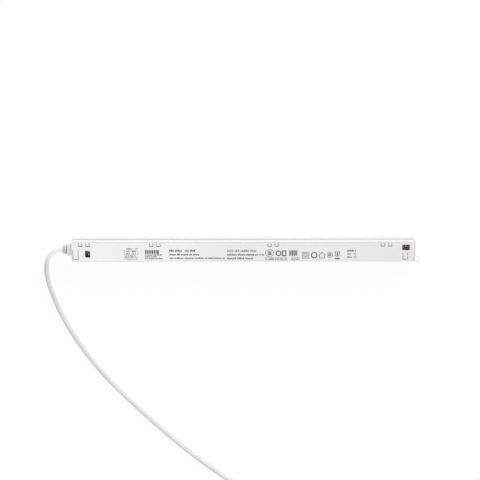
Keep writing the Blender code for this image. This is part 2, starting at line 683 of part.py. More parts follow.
def make_clamp(end, x):
    y_seat = Y_FLOOR + GAP
    channel, posts, bar, seat = clamp_levels()
    half = CLAMP_HALF_HEIGHT
    inner = CORD_RADIUS + GAP
    back = WALL + CLAMP_BACK_INSET
    outline = [(y_seat, back), (half, back), (half, posts), (inner, posts), (inner, channel),
               (-inner, channel), (-inner, posts), (y_seat, posts)]
    block = bmesh.new()
    add_prism(block, outline, 'X', x - CLAMP_LENGTH / 2, x + CLAMP_LENGTH / 2)
    base = node(end + "_clamp_block", block, "clamp_brown")
    strip = bmesh.new()
    outline = rounded_rectangle((x, 0.0), CLAMP_BAR_LENGTH, 2 * half, CLAMP_BAR_THICKNESS, 2)
    add_prism(strip, outline, 'Z', posts + GAP, bar)
    across = node(end + "_clamp_bar", strip, "screw_bronze")
    holes = bmesh.new()
    for index, y in enumerate((-CLAMP_SCREW_OFFSET, CLAMP_SCREW_OFFSET)):
        make_clamp_screw("%s_clamp_screw_%d" % (end, index + 1), x, y, seat)
        foot = seat - SCREW_SHANK_LENGTH - GAP
        hole = [(foot, 0.0), (foot, SCREW_SHANK_RADIUS + GAP), (seat, SCREW_SHANK_RADIUS + GAP), (seat, 0.0)]
        add_turned(holes, hole, along_z(x, y, 0.0), 12)
    holes_tool = helper(end + "_clamp_holes", holes)
    combine(base, holes_tool, 'DIFFERENCE')
    combine(across, holes_tool, 'DIFFERENCE')


def make_clamp_screw(name, x, y, seat):
    """Pan-head screw with a cross recess, pointing down, its head resting at the seat."""
    top = seat + SCREW_HEAD_HEIGHT
    edge = seat + SCREW_HEAD_HEIGHT / 2
    head = SCREW_HEAD_RADIUS
    foot = seat - SCREW_SHANK_LENGTH
    profile = [(foot, 0.0), (foot, SCREW_SHANK_RADIUS), (seat, SCREW_SHANK_RADIUS), (seat, head),
               (edge, head), (top - GAP, head - 2 * GAP), (top, head / 2), (top, 0.0)]
    screw = bmesh.new()
    add_turned(screw, profile, along_z(x, y, 0.0), 16)
    fastener = node(name, screw, "screw_bronze", 40)
    recess = bmesh.new()
    add_cross(recess, x, y, top)
    combine(fastener, helper(name + "_recess", recess), 'DIFFERENCE')


def add_cross(shape, x, y, top):
    """Cross-shaped recess of a screw head, as a cutter."""
    long = SCREW_RECESS_LENGTH / 2
    short = SCREW_RECESS_WIDTH / 2
    outline = []
    for turn in range(4):
        c = round(math.cos(turn * math.pi / 2))
        s = round(math.sin(turn * math.pi / 2))
        for a, b in ((long, -short), (long, short), (short, short)):
            outline.append((x + c * a - s * b, y + s * a + c * b))
    add_prism(shape, outline, 'Z', top - SCREW_RECESS_DEPTH, top + GAP)


# Circuit board and what stands on it
def board_ends():
    start = from_input(INPUT_CLAMP_STATION) + CLAMP_LENGTH / 2 + BOARD_END_CLEARANCE
    end = X_OUTPUT - END_PLATE - OUTPUT_CHEEK_LENGTH - BOARD_END_CLEARANCE
    return start, end


def make_board(slot_x):
    start, end = board_ends()
    margin = WALL + BOARD_SIDE_CLEARANCE
    sheet = bmesh.new()
    add_block(sheet, (start, Y_BOARD_BOTTOM, margin), (end, Y_BOARD_TOP, BODY_DEPTH - margin))
    board = node("circuit_board", sheet, "board_tan")
    slot = bmesh.new()
    corner = BOARD_SLOT_WIDTH / 2.1
    outline = rounded_rectangle((slot_x, Z_MIDDLE), BOARD_SLOT_WIDTH, BOARD_SLOT_LENGTH, corner)
    add_prism(slot, outline, 'Y', Y_BOARD_BOTTOM - BITE, Y_BOARD_TOP + BITE)
    combine(board, helper("isolation_slot", slot), 'DIFFERENCE')


def make_box_part(name, x, length, width, height, finish, radius):
    """Box-shaped component centred across the board."""
    body = bmesh.new()
    add_block(body, (x - length / 2, Y_PARTS, Z_MIDDLE - width / 2),
              (x + length / 2, Y_PARTS + height, Z_MIDDLE + width / 2), radius)
    return node(name, body, finish, 40)


def make_terminal(name, x, side):
    """Two-pole terminal block, with wire entries towards one end and screw wells under the lid."""
    height = PART_HEADROOM - TERMINAL_HEADROOM
    block = make_box_part(name, x, TERMINAL_LENGTH, TERMINAL_WIDTH, height, "terminal_green", 2 * GAP)
    wells = bmesh.new()
    face = x + side * TERMINAL_LENGTH / 2
    top = Y_PARTS + height
    for z in (Z_MIDDLE - TERMINAL_POLE_PITCH / 2, Z_MIDDLE + TERMINAL_POLE_PITCH / 2):
        entry = [(-TERMINAL_ENTRY_DEPTH, 0.0), (-TERMINAL_ENTRY_DEPTH, TERMINAL_ENTRY_RADIUS),
                 (GAP, TERMINAL_ENTRY_RADIUS), (GAP, 0.0)]
        turn = Matrix.Diagonal((side, 1.0, 1.0, 1.0))
        add_turned(wells, entry, along_x(face, Y_PARTS + TERMINAL_ENTRY_RISE, z) @ turn, 12)
        well = [(top - TERMINAL_SCREW_DEPTH, 0.0), (top - TERMINAL_SCREW_DEPTH, TERMINAL_SCREW_RADIUS),
                (top + GAP, TERMINAL_SCREW_RADIUS), (top + GAP, 0.0)]
        add_turned(wells, well, along_y(x, 0.0, z), 12)
    combine(block, helper(name + "_wells", wells), 'DIFFERENCE')


def make_fuse(x):
    """Tube fuse with a metal cap at each end."""
    half = FUSE_LENGTH / 2
    step = FUSE_CAP_LENGTH
    slim = FUSE_RADIUS - FUSE_CAP_STEP
    profile = [(-half, 0.0), (-half, FUSE_RADIUS), (-half + step, FUSE_RADIUS), (-half + step, slim),
               (half - step, slim), (half - step, FUSE_RADIUS), (half, FUSE_RADIUS), (half, 0.0)]
    tube = bmesh.new()
    add_turned(tube, profile, along_x(x, Y_PARTS + FUSE_RADIUS, Z_MIDDLE), 16)
    node("fuse", tube, "ceramic", 40)


def make_disc(name, x, radius, thickness):
    """Coated disc component standing across the board."""
    half = thickness / 2
    rim = radius - half
    profile = [(-half, 0.0), (-half, rim)]
    profile += [(-p[1], p[0]) for p in arc((rim, 0.0), half, 60, -60, 4)]
    profile += [(half, rim), (half, 0.0)]
    disc = bmesh.new()
    add_turned(disc, profile, along_x(x, Y_PARTS + radius, Z_MIDDLE), 20)
    node(name, disc, "component_blue", 40)


def make_choke(name, x):
    """Drum core with a winding around its waist, standing under the lid's rails."""
    radius = CHOKE_RADIUS
    height = Y_LID - LID_RAIL_DEPTH - CHOKE_RAIL_CLEARANCE - Y_PARTS
    flange = CHOKE_FLANGE
    waist = CHOKE_WAIST_RADIUS
    core = bmesh.new()
    profile = [(0.0, 0.0), (0.0, radius), (flange, radius), (flange, waist),
               (height - flange, waist), (height - flange, radius), (height, radius), (height, 0.0)]
    add_turned(core, profile, along_y(x, Y_PARTS, Z_MIDDLE), 20)
    node(name + "_core", core, "ferrite", 40)
    coil = bmesh.new()
    low = flange + GAP
    high = height - flange - GAP
    outer = radius - CHOKE_WINDING_INSET
    profile = [(low, waist + GAP), (low, outer - GAP), (low + GAP, outer), (high - GAP, outer),
               (high, outer - GAP), (high, waist + GAP)]
    add_turned(coil, profile, along_y(x, Y_PARTS, Z_MIDDLE), 20)
    node(name + "_winding", coil, "copper", 40)


def make_can(name, x, length, radius, side):
    """Electrolytic capacitor lying along the board, its crimped end on the given side."""
    crimp = length / 2 - CAN_CRIMP_DISTANCE
    end = length / 2
    slim = radius - CAN_CRIMP_DEPTH
    profile = [(-end, 0.0), (-end, radius - GAP), (-end + GAP, radius),
               (crimp - CAN_CRIMP_DEPTH, radius), (crimp, slim), (crimp + CAN_CRIMP_DEPTH, radius),
               (end - GAP, radius), (end, radius - GAP), (end, 0.0)]
    can = bmesh.new()
    turn = Matrix.Diagonal((side, 1.0, 1.0, 1.0))
    add_turned(can, profile, along_x(x, Y_PARTS + radius, Z_MIDDLE) @ turn, 20)
    node(name, can, "component_black", 40)


def make_power_device(name, middle):
    """Flat power transistor package on an aluminium angle that stands against it."""
    x = middle + POWER_DEVICE_LENGTH / 2 - TRANSISTOR_BODY_LENGTH / 2
    tab_x = x - TRANSISTOR_BODY_LENGTH / 2 - TRANSISTOR_TAB_LENGTH
    back = Z_MIDDLE - TRANSISTOR_WIDTH / 2
    front = Z_MIDDLE + TRANSISTOR_WIDTH / 2
    seat = Y_PARTS + HEATSINK_THICKNESS + GAP
    metal = bmesh.new()
    add_block(metal, (tab_x, seat, back), (x + GAP, seat + TRANSISTOR_TAB_THICKNESS, front))
    package = node(name, metal, "component_black")
    body = bmesh.new()
    add_block(body, (x - TRANSISTOR_BODY_LENGTH / 2, seat, back),
              (x + TRANSISTOR_BODY_LENGTH / 2, seat + TRANSISTOR_THICKNESS, front), GAP, 1)
    combine(package, helper(name + "_body", body), 'UNION')
    hole = bmesh.new()
    profile = [(seat - GAP, 0.0), (seat - GAP, TRANSISTOR_HOLE_RADIUS),
               (seat + TRANSISTOR_THICKNESS, TRANSISTOR_HOLE_RADIUS), (seat + TRANSISTOR_THICKNESS, 0.0)]
    add_turned(hole, profile, along_y(tab_x + TRANSISTOR_TAB_LENGTH / 2, 0.0, Z_MIDDLE), 12)
    combine(package, helper(name + "_hole", hole), 'DIFFERENCE')
    sink = bmesh.new()
    rear = tab_x - GAP - HEATSINK_THICKNESS
    top = Y_PARTS + HEATSINK_FLANGE
    thick = HEATSINK_THICKNESS
    angle = [(rear, Y_PARTS), (x + TRANSISTOR_BODY_LENGTH / 2, Y_PARTS),
             (x + TRANSISTOR_BODY_LENGTH / 2, Y_PARTS + thick), (rear + thick, Y_PARTS + thick),
             (rear + thick, top), (rear, top)]
    add_prism(sink, angle, 'Z', back, front)
    node(name + "_heatsink", sink, "aluminium")


def make_transformer(x):
    """Two-window ferrite core around a bobbin, with its winding under a layer of tape."""
    height = PART_HEADROOM
    y = Y_PARTS + height / 2
    half = TRANSFORMER_LENGTH / 2
    wide = Z_MIDDLE - WALL - TRANSFORMER_SIDE_CLEARANCE
    thick = height / 2 - BOBBIN_WALL - WINDING_DEPTH - 3 * GAP
    opening = BOBBIN_WALL + WINDING_DEPTH + 4 * GAP
    limb = (wide - opening) / 2
    inside = half - TRANSFORMER_YOKE
    core = bmesh.new()
    add_block(core, (x - half, y - thick, Z_MIDDLE - wide), (x + half, y + thick, Z_MIDDLE + wide))
    ferrite = node("transformer_core", core, "ferrite")
    openings = bmesh.new()
    for near, far in ((-limb - opening, -limb), (limb, limb + opening)):
        add_block(openings, (x - inside, y - thick - BITE, Z_MIDDLE + near),
                  (x + inside, y + thick + BITE, Z_MIDDLE + far))
    combine(ferrite, helper("core_openings", openings), 'DIFFERENCE')
    tube = limb + GAP + BOBBIN_WALL
    tube_y = thick + GAP + BOBBIN_WALL
    flange = limb + opening - GAP
    flange_y = height / 2
    reach = inside - GAP
    bobbin = bmesh.new()
    add_block(bobbin, (x - reach, y - tube_y, Z_MIDDLE - tube), (x + reach, y + tube_y, Z_MIDDLE + tube))
    former = node("transformer_bobbin", bobbin, "component_black")
    flanges = bmesh.new()
    for low in (x - reach, x + reach - BOBBIN_FLANGE):
        add_block(flanges, (low, y - flange_y, Z_MIDDLE - flange),
                  (low + BOBBIN_FLANGE, y + flange_y, Z_MIDDLE + flange))
    combine(former, helper("bobbin_flanges", flanges), 'UNION')
    bore = bmesh.new()
    add_block(bore, (x - half, y - thick - GAP, Z_MIDDLE - limb - GAP),
              (x + half, y + thick + GAP, Z_MIDDLE + limb + GAP))
    bore_tool = helper("bobbin_bore", bore)
    combine(former, bore_tool, 'DIFFERENCE')
    winding = bmesh.new()
    end = reach - BOBBIN_FLANGE - GAP
    add_block(winding, (x - end, y - flange_y + GAP, Z_MIDDLE - flange + GAP),
              (x + end, y + flange_y - GAP, Z_MIDDLE + flange - GAP))
    taped = node("transformer_winding", winding, "component_yellow")
    hole = bmesh.new()
    add_block(hole, (x - half, y - tube_y - GAP, Z_MIDDLE - tube - GAP),
              (x + half, y + tube_y + GAP, Z_MIDDLE + tube + GAP))
    combine(taped, helper("winding_hole", hole), 'DIFFERENCE')


def make_film_capacitor(x):
    make_box_part("film_capacitor", x, FILM_CAPACITOR_LENGTH, FILM_CAPACITOR_WIDTH, PART_HEADROOM,
                  "component_yellow", 2 * GAP)


def make_chip(name, x, length, width, height):
    make_box_part(name, x, length, width, height, "component_black", GAP / 2)


def component_plan():
    """The components from the input end to the output end, each with its length along the board."""
    varistor_radius = (PART_HEADROOM - VARISTOR_HEADROOM) / 2
    bulk_radius = PART_HEADROOM / 2
    output_radius = (PART_HEADROOM - OUTPUT_CAPACITOR_HEADROOM) / 2
    return [
        (TERMINAL_LENGTH, lambda x: make_terminal("input_terminal_block", x, -1)),
        (FUSE_LENGTH, make_fuse),
        (VARISTOR_THICKNESS, lambda x: make_disc("varistor", x, varistor_radius, VARISTOR_THICKNESS)),
        (FILM_CAPACITOR_LENGTH, make_film_capacitor),
        (2 * CHOKE_RADIUS, lambda x: make_choke("input_choke", x)),
        (RECTIFIER_LENGTH,
         lambda x: make_chip("bridge_rectifier", x, RECTIFIER_LENGTH, RECTIFIER_WIDTH, RECTIFIER_HEIGHT)),
        (BULK_CAPACITOR_LENGTH,
         lambda x: make_can("bulk_capacitor_1", x, BULK_CAPACITOR_LENGTH, bulk_radius, -1)),
        (BULK_CAPACITOR_LENGTH,
         lambda x: make_can("bulk_capacitor_2", x, BULK_CAPACITOR_LENGTH, bulk_radius, -1)),
        (POWER_DEVICE_LENGTH, lambda x: make_power_device("switching_transistor", x)),
        (CHIP_LENGTH, lambda x: make_chip("control_chip", x, CHIP_LENGTH, CHIP_WIDTH, CHIP_HEIGHT)),
        (TRANSFORMER_LENGTH, make_transformer),
        (COUPLER_LENGTH,
         lambda x: make_chip("optocoupler", x, COUPLER_LENGTH, COUPLER_WIDTH, COUPLER_HEIGHT)),
        (DISC_CAPACITOR_THICKNESS,
         lambda x: make_disc("safety_capacitor", x, DISC_CAPACITOR_RADIUS, DISC_CAPACITOR_THICKNESS)),
        (POWER_DEVICE_LENGTH, lambda x: make_power_device("output_rectifier", x)),
        (OUTPUT_CAPACITOR_LENGTH,
         lambda x: make_can("output_capacitor", x, OUTPUT_CAPACITOR_LENGTH, output_radius, 1)),
        (2 * CHOKE_RADIUS, lambda x: make_choke("output_choke", x)),
        (TERMINAL_LENGTH, lambda x: make_terminal("output_terminal_block", x, 1)),
    ]


def make_components():
    """Spread the components evenly between the wires at the board's two ends."""
    start, end = board_ends()
    plan = component_plan()
    free = end - start - 2 * WIRE_ROOM - sum(length for length, _ in plan)
    spacing = free / (len(plan) - 1)
    x = start + WIRE_ROOM
    for length, make in plan:
        make(x + length / 2)
        if make is make_transformer:
            make_board(x - BOARD_SLOT_DISTANCE)
        x += length + spacing


# Cord inside the housing, and its two cores
def make_round_tube(name, points, radius, finish, resolution):
    """Round tube along a list of points, as a curve with filled ends."""
    curve = bpy.data.curves.new(name, 'CURVE')
    curve.dimensions = '3D'
    curve.bevel_depth = radius
    curve.bevel_resolution = resolution
    curve.use_fill_caps = True
    curve.materials.append(material(finish))
    spline = curve.splines.new('POLY')
    spline.points.add(len(points) - 1)
    for point, place in zip(spline.points, points):
        point.co = (*place, 1.0)
    piece = bpy.data.objects.new(name, curve)
    bpy.context.scene.collection.objects.link(piece)


def smooth_route(points, spacing):
    """Evenly spaced points on a smooth curve through the given ones."""
    places = [Vector(p) for p in points]
    ends = [2 * places[0] - places[1]] + places + [2 * places[-1] - places[-2]]
    dense = []
    steps = 24
    for a, b, c, d in zip(ends, ends[1:], ends[2:], ends[3:]):
        for i in range(steps):
            t = i / steps
            dense.append(0.5 * (2 * b + (c - a) * t + (2 * a - 5 * b + 4 * c - d) * t ** 2
                                + (3 * b - a - 3 * c + d) * t ** 3))
    dense.append(places[-1])
    lengths = [0.0]
    for a, b in zip(dense, dense[1:]):
        lengths.append(lengths[-1] + (b - a).length)
    count = max(2, round(lengths[-1] / spacing))
    result = []
    index = 0
    for i in range(count + 1):
        wanted = lengths[-1] * i / count
        while index < len(dense) - 2 and lengths[index + 1] < wanted:
            index += 1
        share = (wanted - lengths[index]) / max(lengths[index + 1] - lengths[index], 1e-9)
        result.append(dense[index].lerp(dense[index + 1], share))
    return result


def make_cord_inside():
    """The sheathed end of the cord between the strain relief and the board, and its two cores."""
    start = X_INPUT + END_PLATE + RELIEF_INSIDE_LENGTH + GAP
    board, _ = board_ends()
    sheath_end = board + GAP
    axis = LEAD_EXIT_HEIGHT
    sheath = [(start, 0.0, axis), (sheath_end, 0.0, axis)]
    make_round_tube("cord_inside", sheath, CORD_RADIUS, "cord_white", 2)
    entry_x = board + WIRE_ROOM + GAP
    entry_y = Y_PARTS + TERMINAL_ENTRY_RISE
    core_end = entry_x + TERMINAL_ENTRY_DEPTH / 2
    for name, side, finish in (("line_core", 1, "core_brown"), ("neutral_core", -1, "core_blue")):
        near = axis + side * CORE_RADIUS * 1.3
        far = axis + side * TERMINAL_POLE_PITCH / 2
        route = [(sheath_end + GAP, 0.0, near), (sheath_end + WIRE_ROOM / 3, 0.0, near),
                 (entry_x - GAP, entry_y, far), (core_end, entry_y, far)]
        make_round_tube(name, smooth_route(route, CORE_RADIUS * 1.5), CORE_RADIUS, finish, 1)


# Free lead
def coil_point(angle, radius):
    return (COIL_CENTRE[0] + radius * math.cos(angle), COIL_CENTRE[1] + radius * math.sin(angle))


def coil_tangent(angle, turn, back):
    """Point on the straight that touches a layer's outermost turn at an angle, just clear of that layer."""
    clear = turn + 2 * CORD_RADIUS + GAP
    reach = math.sqrt(clear ** 2 - turn ** 2)
    x, y = coil_point(angle, turn)
    heading = angle - math.pi / 2
    return x + back * reach * math.cos(heading), y + back * reach * math.sin(heading)


def plug_place(along, across, up):
    """A place given in the plug's own directions, in the body's frame."""
    c = math.cos(PLUG_HEADING)
    s = math.sin(PLUG_HEADING)
    return (PLUG_PLACE[0] + c * along - s * across, PLUG_PLACE[1] + s * along + c * across, up)


def lead_exit(distance):
    """Point on the lead's straight way out of the strain relief."""
    return (X_INPUT - RELIEF_OUTSIDE_LENGTH - GAP - distance, 0.0, LEAD_EXIT_HEIGHT)


def lead_route():
    """The lead from the strain relief, down to the table and in a wide bow to the coil."""
    floor = CORD_RADIUS
    bend = [(-164.8, -1.2, 8.9), (-169.4, -4.6, 8.5), (-172.8, -10.0, 7.9), (-174.2, -16.6, 7.2),
            (-174.2, -23.6, 6.3), (-173.2, -31.0, 5.3), (-171.2, -39.0, 4.3)]
    bow = [(-168.3, -48.4), (-164.8, -58.0), (-160.5, -67.6), (-150.0, -86.6), (-137.2, -105.7),
           (-122.0, -125.0), (-103.7, -144.4), (-84.2, -164.0), (-63.1, -183.8), (-39.7, -203.8),
           (-18.6, -220.0)]
    settle = [3.4, 2.6, 2.15]
    route = [lead_exit(LEAD_STRAIGHT)]
    route += [(x * MM, y * MM, z * MM) for x, y, z in bend]
    for index, (x, y) in enumerate(bow):
        height = settle[index] * MM if index < len(settle) else floor
        route.append((x * MM, y * MM, max(height, floor)))
    x, y = coil_tangent(COIL_ENTRY_ANGLE, COIL_LOWER_TURN_RADIUS, -1)
    route.append((x, y, floor + COIL_BOTTOM / 2))
    return route


def tail_route():
    """The short stretch from the coil's upper layer, over the lower one, to the plug."""
    x, y = coil_tangent(COIL_EXIT_ANGLE, COIL_UPPER_TURN_RADIUS, 1)
    upper = COIL_STEP + GAP + CORD_RADIUS
    heading = COIL_EXIT_ANGLE - math.pi / 2
    past = COIL_LOWER_TURN_RADIUS - COIL_UPPER_TURN_RADIUS + CORD_DIAMETER
    ahead = (x + past * math.cos(heading), y + past * math.sin(heading), upper)
    return [(x, y, upper), ahead, plug_place(-PLUG_RELIEF_LENGTH - GAP - LEAD_STRAIGHT, 0.0, Z_PLUG)]


def make_lead():
    run = [lead_exit(0.0)] + smooth_route(lead_route(), CORD_POINT_SPACING)
    make_round_tube("cord_run", run, CORD_RADIUS, "cord_white", 3)
    tail = smooth_route(tail_route(), CORD_POINT_SPACING)
    tail.append(plug_place(-PLUG_RELIEF_LENGTH - GAP, 0.0, Z_PLUG))
    make_round_tube("cord_tail", tail, CORD_RADIUS, "cord_white", 3)
    round_off = CORD_RADIUS / 2
    inner = COIL_INSIDE_RADIUS
    outer = COIL_OUTSIDE_RADIUS
    upper = COIL_UPPER_TURN_RADIUS + CORD_RADIUS
    profile = [(COIL_BOTTOM, inner + round_off), (COIL_BOTTOM, outer - round_off),
               (COIL_BOTTOM + round_off, outer), (COIL_STEP - round_off, outer),
               (COIL_STEP, outer - round_off), (COIL_STEP, upper), (COIL_TOP - round_off, upper),
               (COIL_TOP, upper - round_off), (COIL_TOP, inner + round_off),
               (COIL_TOP - round_off, inner), (COIL_BOTTOM + round_off, inner)]
    ring = bmesh.new()
    add_turned(ring, profile, along_z(COIL_CENTRE[0], COIL_CENTRE[1], 0.0), 40)
    node("cord_coil", ring, "cord_white", 50)


def make_tie():
    """Band around the coil's turns, closed under the coil."""
    gap = TIE_CLEARANCE
    wall = TIE_THICKNESS
    near = COIL_INSIDE_RADIUS - gap
    far = COIL_OUTSIDE_RADIUS + gap
    high = COIL_TOP + gap
    half = TIE_WIDTH / 2
    band = bmesh.new()
    add_block(band, (near - wall, -half, 0.0), (far + wall, half, high + wall), wall / 2, 1)
    tie = node("coil_tie", band, "cord_white")
    inside = bmesh.new()
    add_block(inside, (near, -half - wall, wall), (far, half + wall, high))
    hole = helper("tie_hole", inside)
    place = Matrix.Translation((*COIL_CENTRE, 0.0)) @ Matrix.Rotation(TIE_ANGLE, 4, 'Z')
    tie.matrix_world = place
    hole.matrix_world = place
    combine(tie, hole, 'DIFFERENCE')


# Plug
def plug_outline():
    """Plan of the plug: a wide pin face, a finger waist and a narrow tail."""
    half = PLUG_FACE_WIDTH / 2
    waist = PLUG_WAIST_WIDTH / 2
    tail = PLUG_TAIL_WIDTH / 2
    side = [(0.0, tail), (PLUG_LENGTH * 0.3, waist * 0.93), (PLUG_LENGTH * 0.6, waist),
            (PLUG_LENGTH - 2 * PLUG_CORNER, half - PLUG_EDGE / 2), (PLUG_LENGTH, half)]
    return [(x, y) for x, y in side] + [(x, -y) for x, y in reversed(side)]


def make_plug():
    body = bmesh.new()
    add_prism(body, plug_outline(), 'Z', 0.0, PLUG_THICKNESS)
    bmesh.ops.bevel(body, geom=list(body.edges), offset=PLUG_EDGE, offset_type='OFFSET', affect='EDGES',
                    segments=3, profile=0.5, material=-1, clamp_overlap=True)
    place = Matrix.Translation((*PLUG_PLACE, 0.0)) @ Matrix.Rotation(PLUG_HEADING, 4, 'Z')
    tip = PLUG_LENGTH + GAP + PIN_LENGTH
    sleeve = PLUG_LENGTH + GAP + PIN_SLEEVE_LENGTH
    slim = PIN_RADIUS - PIN_SLEEVE_STEP
    profile = [(PLUG_LENGTH + GAP, 0.0), (PLUG_LENGTH + GAP, slim), (sleeve, slim), (sleeve, PIN_RADIUS),
               (tip - PIN_RADIUS / 2, PIN_RADIUS), (tip, PIN_RADIUS / 2), (tip, 0.0)]
    for index, side in enumerate((-1, 1)):
        pin = bmesh.new()
        add_turned(pin, profile, along_x(0.0, side * PIN_SPACING / 2, Z_PLUG), 14)
        node("plug_pin_%d" % (index + 1), pin, "tinned", 40).matrix_world = place
    relief = bmesh.new()
    add_turned(relief, plug_relief_profile(), along_x(0.0, 0.0, Z_PLUG), 16)
    node("plug_body", body, "cord_white", 40).matrix_world = place
    node("plug_strain_relief", relief, "cord_white", 40).matrix_world = place


def plug_relief_profile():
    """Tapered sleeve with grooves around it, from its tip on the cord to its root at the plug."""
    length = PLUG_RELIEF_LENGTH
    step = length / (PLUG_RELIEF_GROOVES + 1)

    def radius(x):
        growth = (x + length) / length
        return PLUG_RELIEF_TIP_RADIUS + (PLUG_RELIEF_ROOT_RADIUS - PLUG_RELIEF_TIP_RADIUS) * growth

    profile = [(-length, 0.0), (-length, PLUG_RELIEF_TIP_RADIUS)]
    for index in range(1, PLUG_RELIEF_GROOVES + 1):
        middle = -length + index * step
        for x, depth in ((middle - step / 4, 0.0), (middle - step / 8, 1.0), (middle + step / 8, 1.0),
                         (middle + step / 4, 0.0)):
            profile.append((x, radius(x) - depth * PLUG_RELIEF_GROOVE_DEPTH))
    profile += [(-GAP, PLUG_RELIEF_ROOT_RADIUS), (-GAP, 0.0)]
    return profile


def main():
    for old in list(bpy.data.objects):
        bpy.data.objects.remove(old, do_unlink=True)
    make_housing()
    make_lid()
    make_input_cap()
    make_output_cap()
    make_strain_relief()
    make_clamp("input", from_input(INPUT_CLAMP_STATION))
    make_clamp("output", from_output(OUTPUT_CLAMP_STATION))
    make_components()
    make_cord_inside()
    make_lead()
    make_tie()
    make_plug()


main()
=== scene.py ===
# Slim linear power supply with its mains lead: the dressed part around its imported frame.
import math
import random

import bmesh
import bpy
from bpy.props import FloatProperty, FloatVectorProperty, IntProperty, PointerProperty
from mathutils import Matrix, Vector


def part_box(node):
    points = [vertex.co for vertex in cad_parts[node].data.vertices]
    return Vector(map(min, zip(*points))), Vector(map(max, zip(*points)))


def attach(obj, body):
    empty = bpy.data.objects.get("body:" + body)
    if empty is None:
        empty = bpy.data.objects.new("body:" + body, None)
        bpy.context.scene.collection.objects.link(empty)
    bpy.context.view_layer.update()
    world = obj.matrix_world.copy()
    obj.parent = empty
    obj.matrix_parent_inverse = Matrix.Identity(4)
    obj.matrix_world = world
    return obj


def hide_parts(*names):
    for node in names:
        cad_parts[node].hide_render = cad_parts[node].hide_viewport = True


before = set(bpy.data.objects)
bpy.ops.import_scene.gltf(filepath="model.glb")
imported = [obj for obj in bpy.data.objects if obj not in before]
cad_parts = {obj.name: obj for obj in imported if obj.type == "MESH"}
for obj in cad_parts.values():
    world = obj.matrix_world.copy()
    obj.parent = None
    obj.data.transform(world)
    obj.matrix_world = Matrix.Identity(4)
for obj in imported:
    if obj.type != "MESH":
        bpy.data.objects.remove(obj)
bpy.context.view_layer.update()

bl_info = {
    "name": "Slim power supply",
    "version": (1, 0, 0),
    "blender": (4, 5, 0),
    "location": "View3D > Sidebar > Supply",
    "description": "Dresses the frame of a slim linear power supply with its lead, print and materials",
    "category": "Object",
}

MM = 0.001

# Body: its ends, from the frame, its label face, which the latches stand proud of, and its axis
BODY_LOW, BODY_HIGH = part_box("housing_base")
CAP_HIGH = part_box("output_end_cap")[1]
X_INPUT = BODY_LOW.x
Z_LABEL = 18.0 * MM
Z_AXIS = Z_LABEL / 2

# Housing: the depth within which a vertex lies on a face, two seams that are drawn close, the box inside
# which the faces get painted shade, and the lid's groove, with the depths where its painted shade starts and
# ends
SKIN = 0.05 * MM
LIP_SEAM, CAP_SEAM = 0.2 * MM, 0.22 * MM
PAINTED_SHADE_BOX = (BODY_LOW + Vector((0.1, 0.2, 0.5)) * MM, Vector((BODY_HIGH.x, 7.9 * MM, Z_LABEL - 0.5 * MM)))
GROOVE_PAINTED_SHADE = 0.70
GROOVE_HALF = 1.7 * MM
PAINTED_SHADE_FULL, PAINTED_SHADE_NONE = 0.10 * MM, 0.03 * MM

# Rounding of a frame's copy: a sharp edge's angle, the room kept around a tight place, the area and lean
# of a folded sliver, and how often it is tried
SHARP = math.radians(40.0)
TIGHT = 0.5 * MM
SLIVER, LEAN = 2e-10, 0.985
ROUNDING_TRIES = 8

# Clamps: round and shortest rounded edge of the moulded blocks and of the metal, and each bar's painted shade
# (input) and painted light (output)
BLOCK_ROUND, BLOCK_SHORTEST = 0.25 * MM, 1.2 * MM
METAL_ROUND, METAL_SHORTEST = 0.07 * MM, 0.3 * MM
BAR_PAINTED_LIGHT = {"input": 0.5, "output": 1.5}

# Strain relief: its painted light as a factor on the sheath's colour, its slots with painted shade from one
# place to another in mm from its tip, waist, rib and fillet
RELIEF_PAINTED_LIGHT = 1.3
RELIEF_SLOTS = ((0.42, 1.58), (2.52, 4.18))
RELIEF_WAIST = 3.6 * MM
RELIEF_RIB = 4.5 * MM
RELIEF_FILLET = 0.2 * MM

# Free lead: its start and exit, the y where its painted light, as pale as its relief, begins and ends, and
# the places that its centreline follows in mm, as in the frame
CORD_RADIUS = 2.0 * MM
LEAD_START = X_INPUT - 8.2 * MM
LEAD_PAINTED_LIGHT = (-14.0 * MM, -5.0 * MM)
LEAD_BEND = ((-164.8, -1.2, 8.9), (-169.4, -4.6, 8.5), (-172.8, -10.0, 7.9), (-174.2, -16.6, 7.2),
             (-174.2, -23.6, 6.3), (-173.2, -31.0, 5.3), (-171.2, -39.0, 4.3), (-168.3, -48.4, 3.4),
             (-164.8, -58.0, 2.6), (-160.5, -67.6, 2.15), (-150.0, -86.6, 2.0), (-137.2, -105.7, 2.0),
             (-122.0, -125.0, 2.0), (-103.7, -144.4, 2.0), (-84.2, -164.0, 2.0), (-63.1, -183.8, 2.0),
             (-39.7, -203.8, 2.0), (-18.6, -220.0, 2.0))

# Coil: five turns side by side below and the rest on them. The last three values are the shares of a turn
# in which it changes its slot and its layer, and where the upper layer starts
COIL_CENTRE = Vector((-9.1, -266.0, 0.0)) * MM
COIL_PITCH = 4.05 * MM
COIL_INNER = 15.7 * MM
COIL_SLOTS = 5
COIL_LOW = 3.0 * MM
COIL_ENTRY = math.radians(52.3)
COIL_TURNS = 7.923
COIL_STEPS = 20
COIL_CROSSING, COIL_RISE, COIL_PHASE = 0.36, 0.30, 0.34
TIE_ANGLE = math.radians(215.0)
STRAP_WIDTH, STRAP_THICKNESS, STRAP_SLACK = 5.0 * MM, 0.45 * MM, 0.1 * MM
STRAP_STEPS = 6

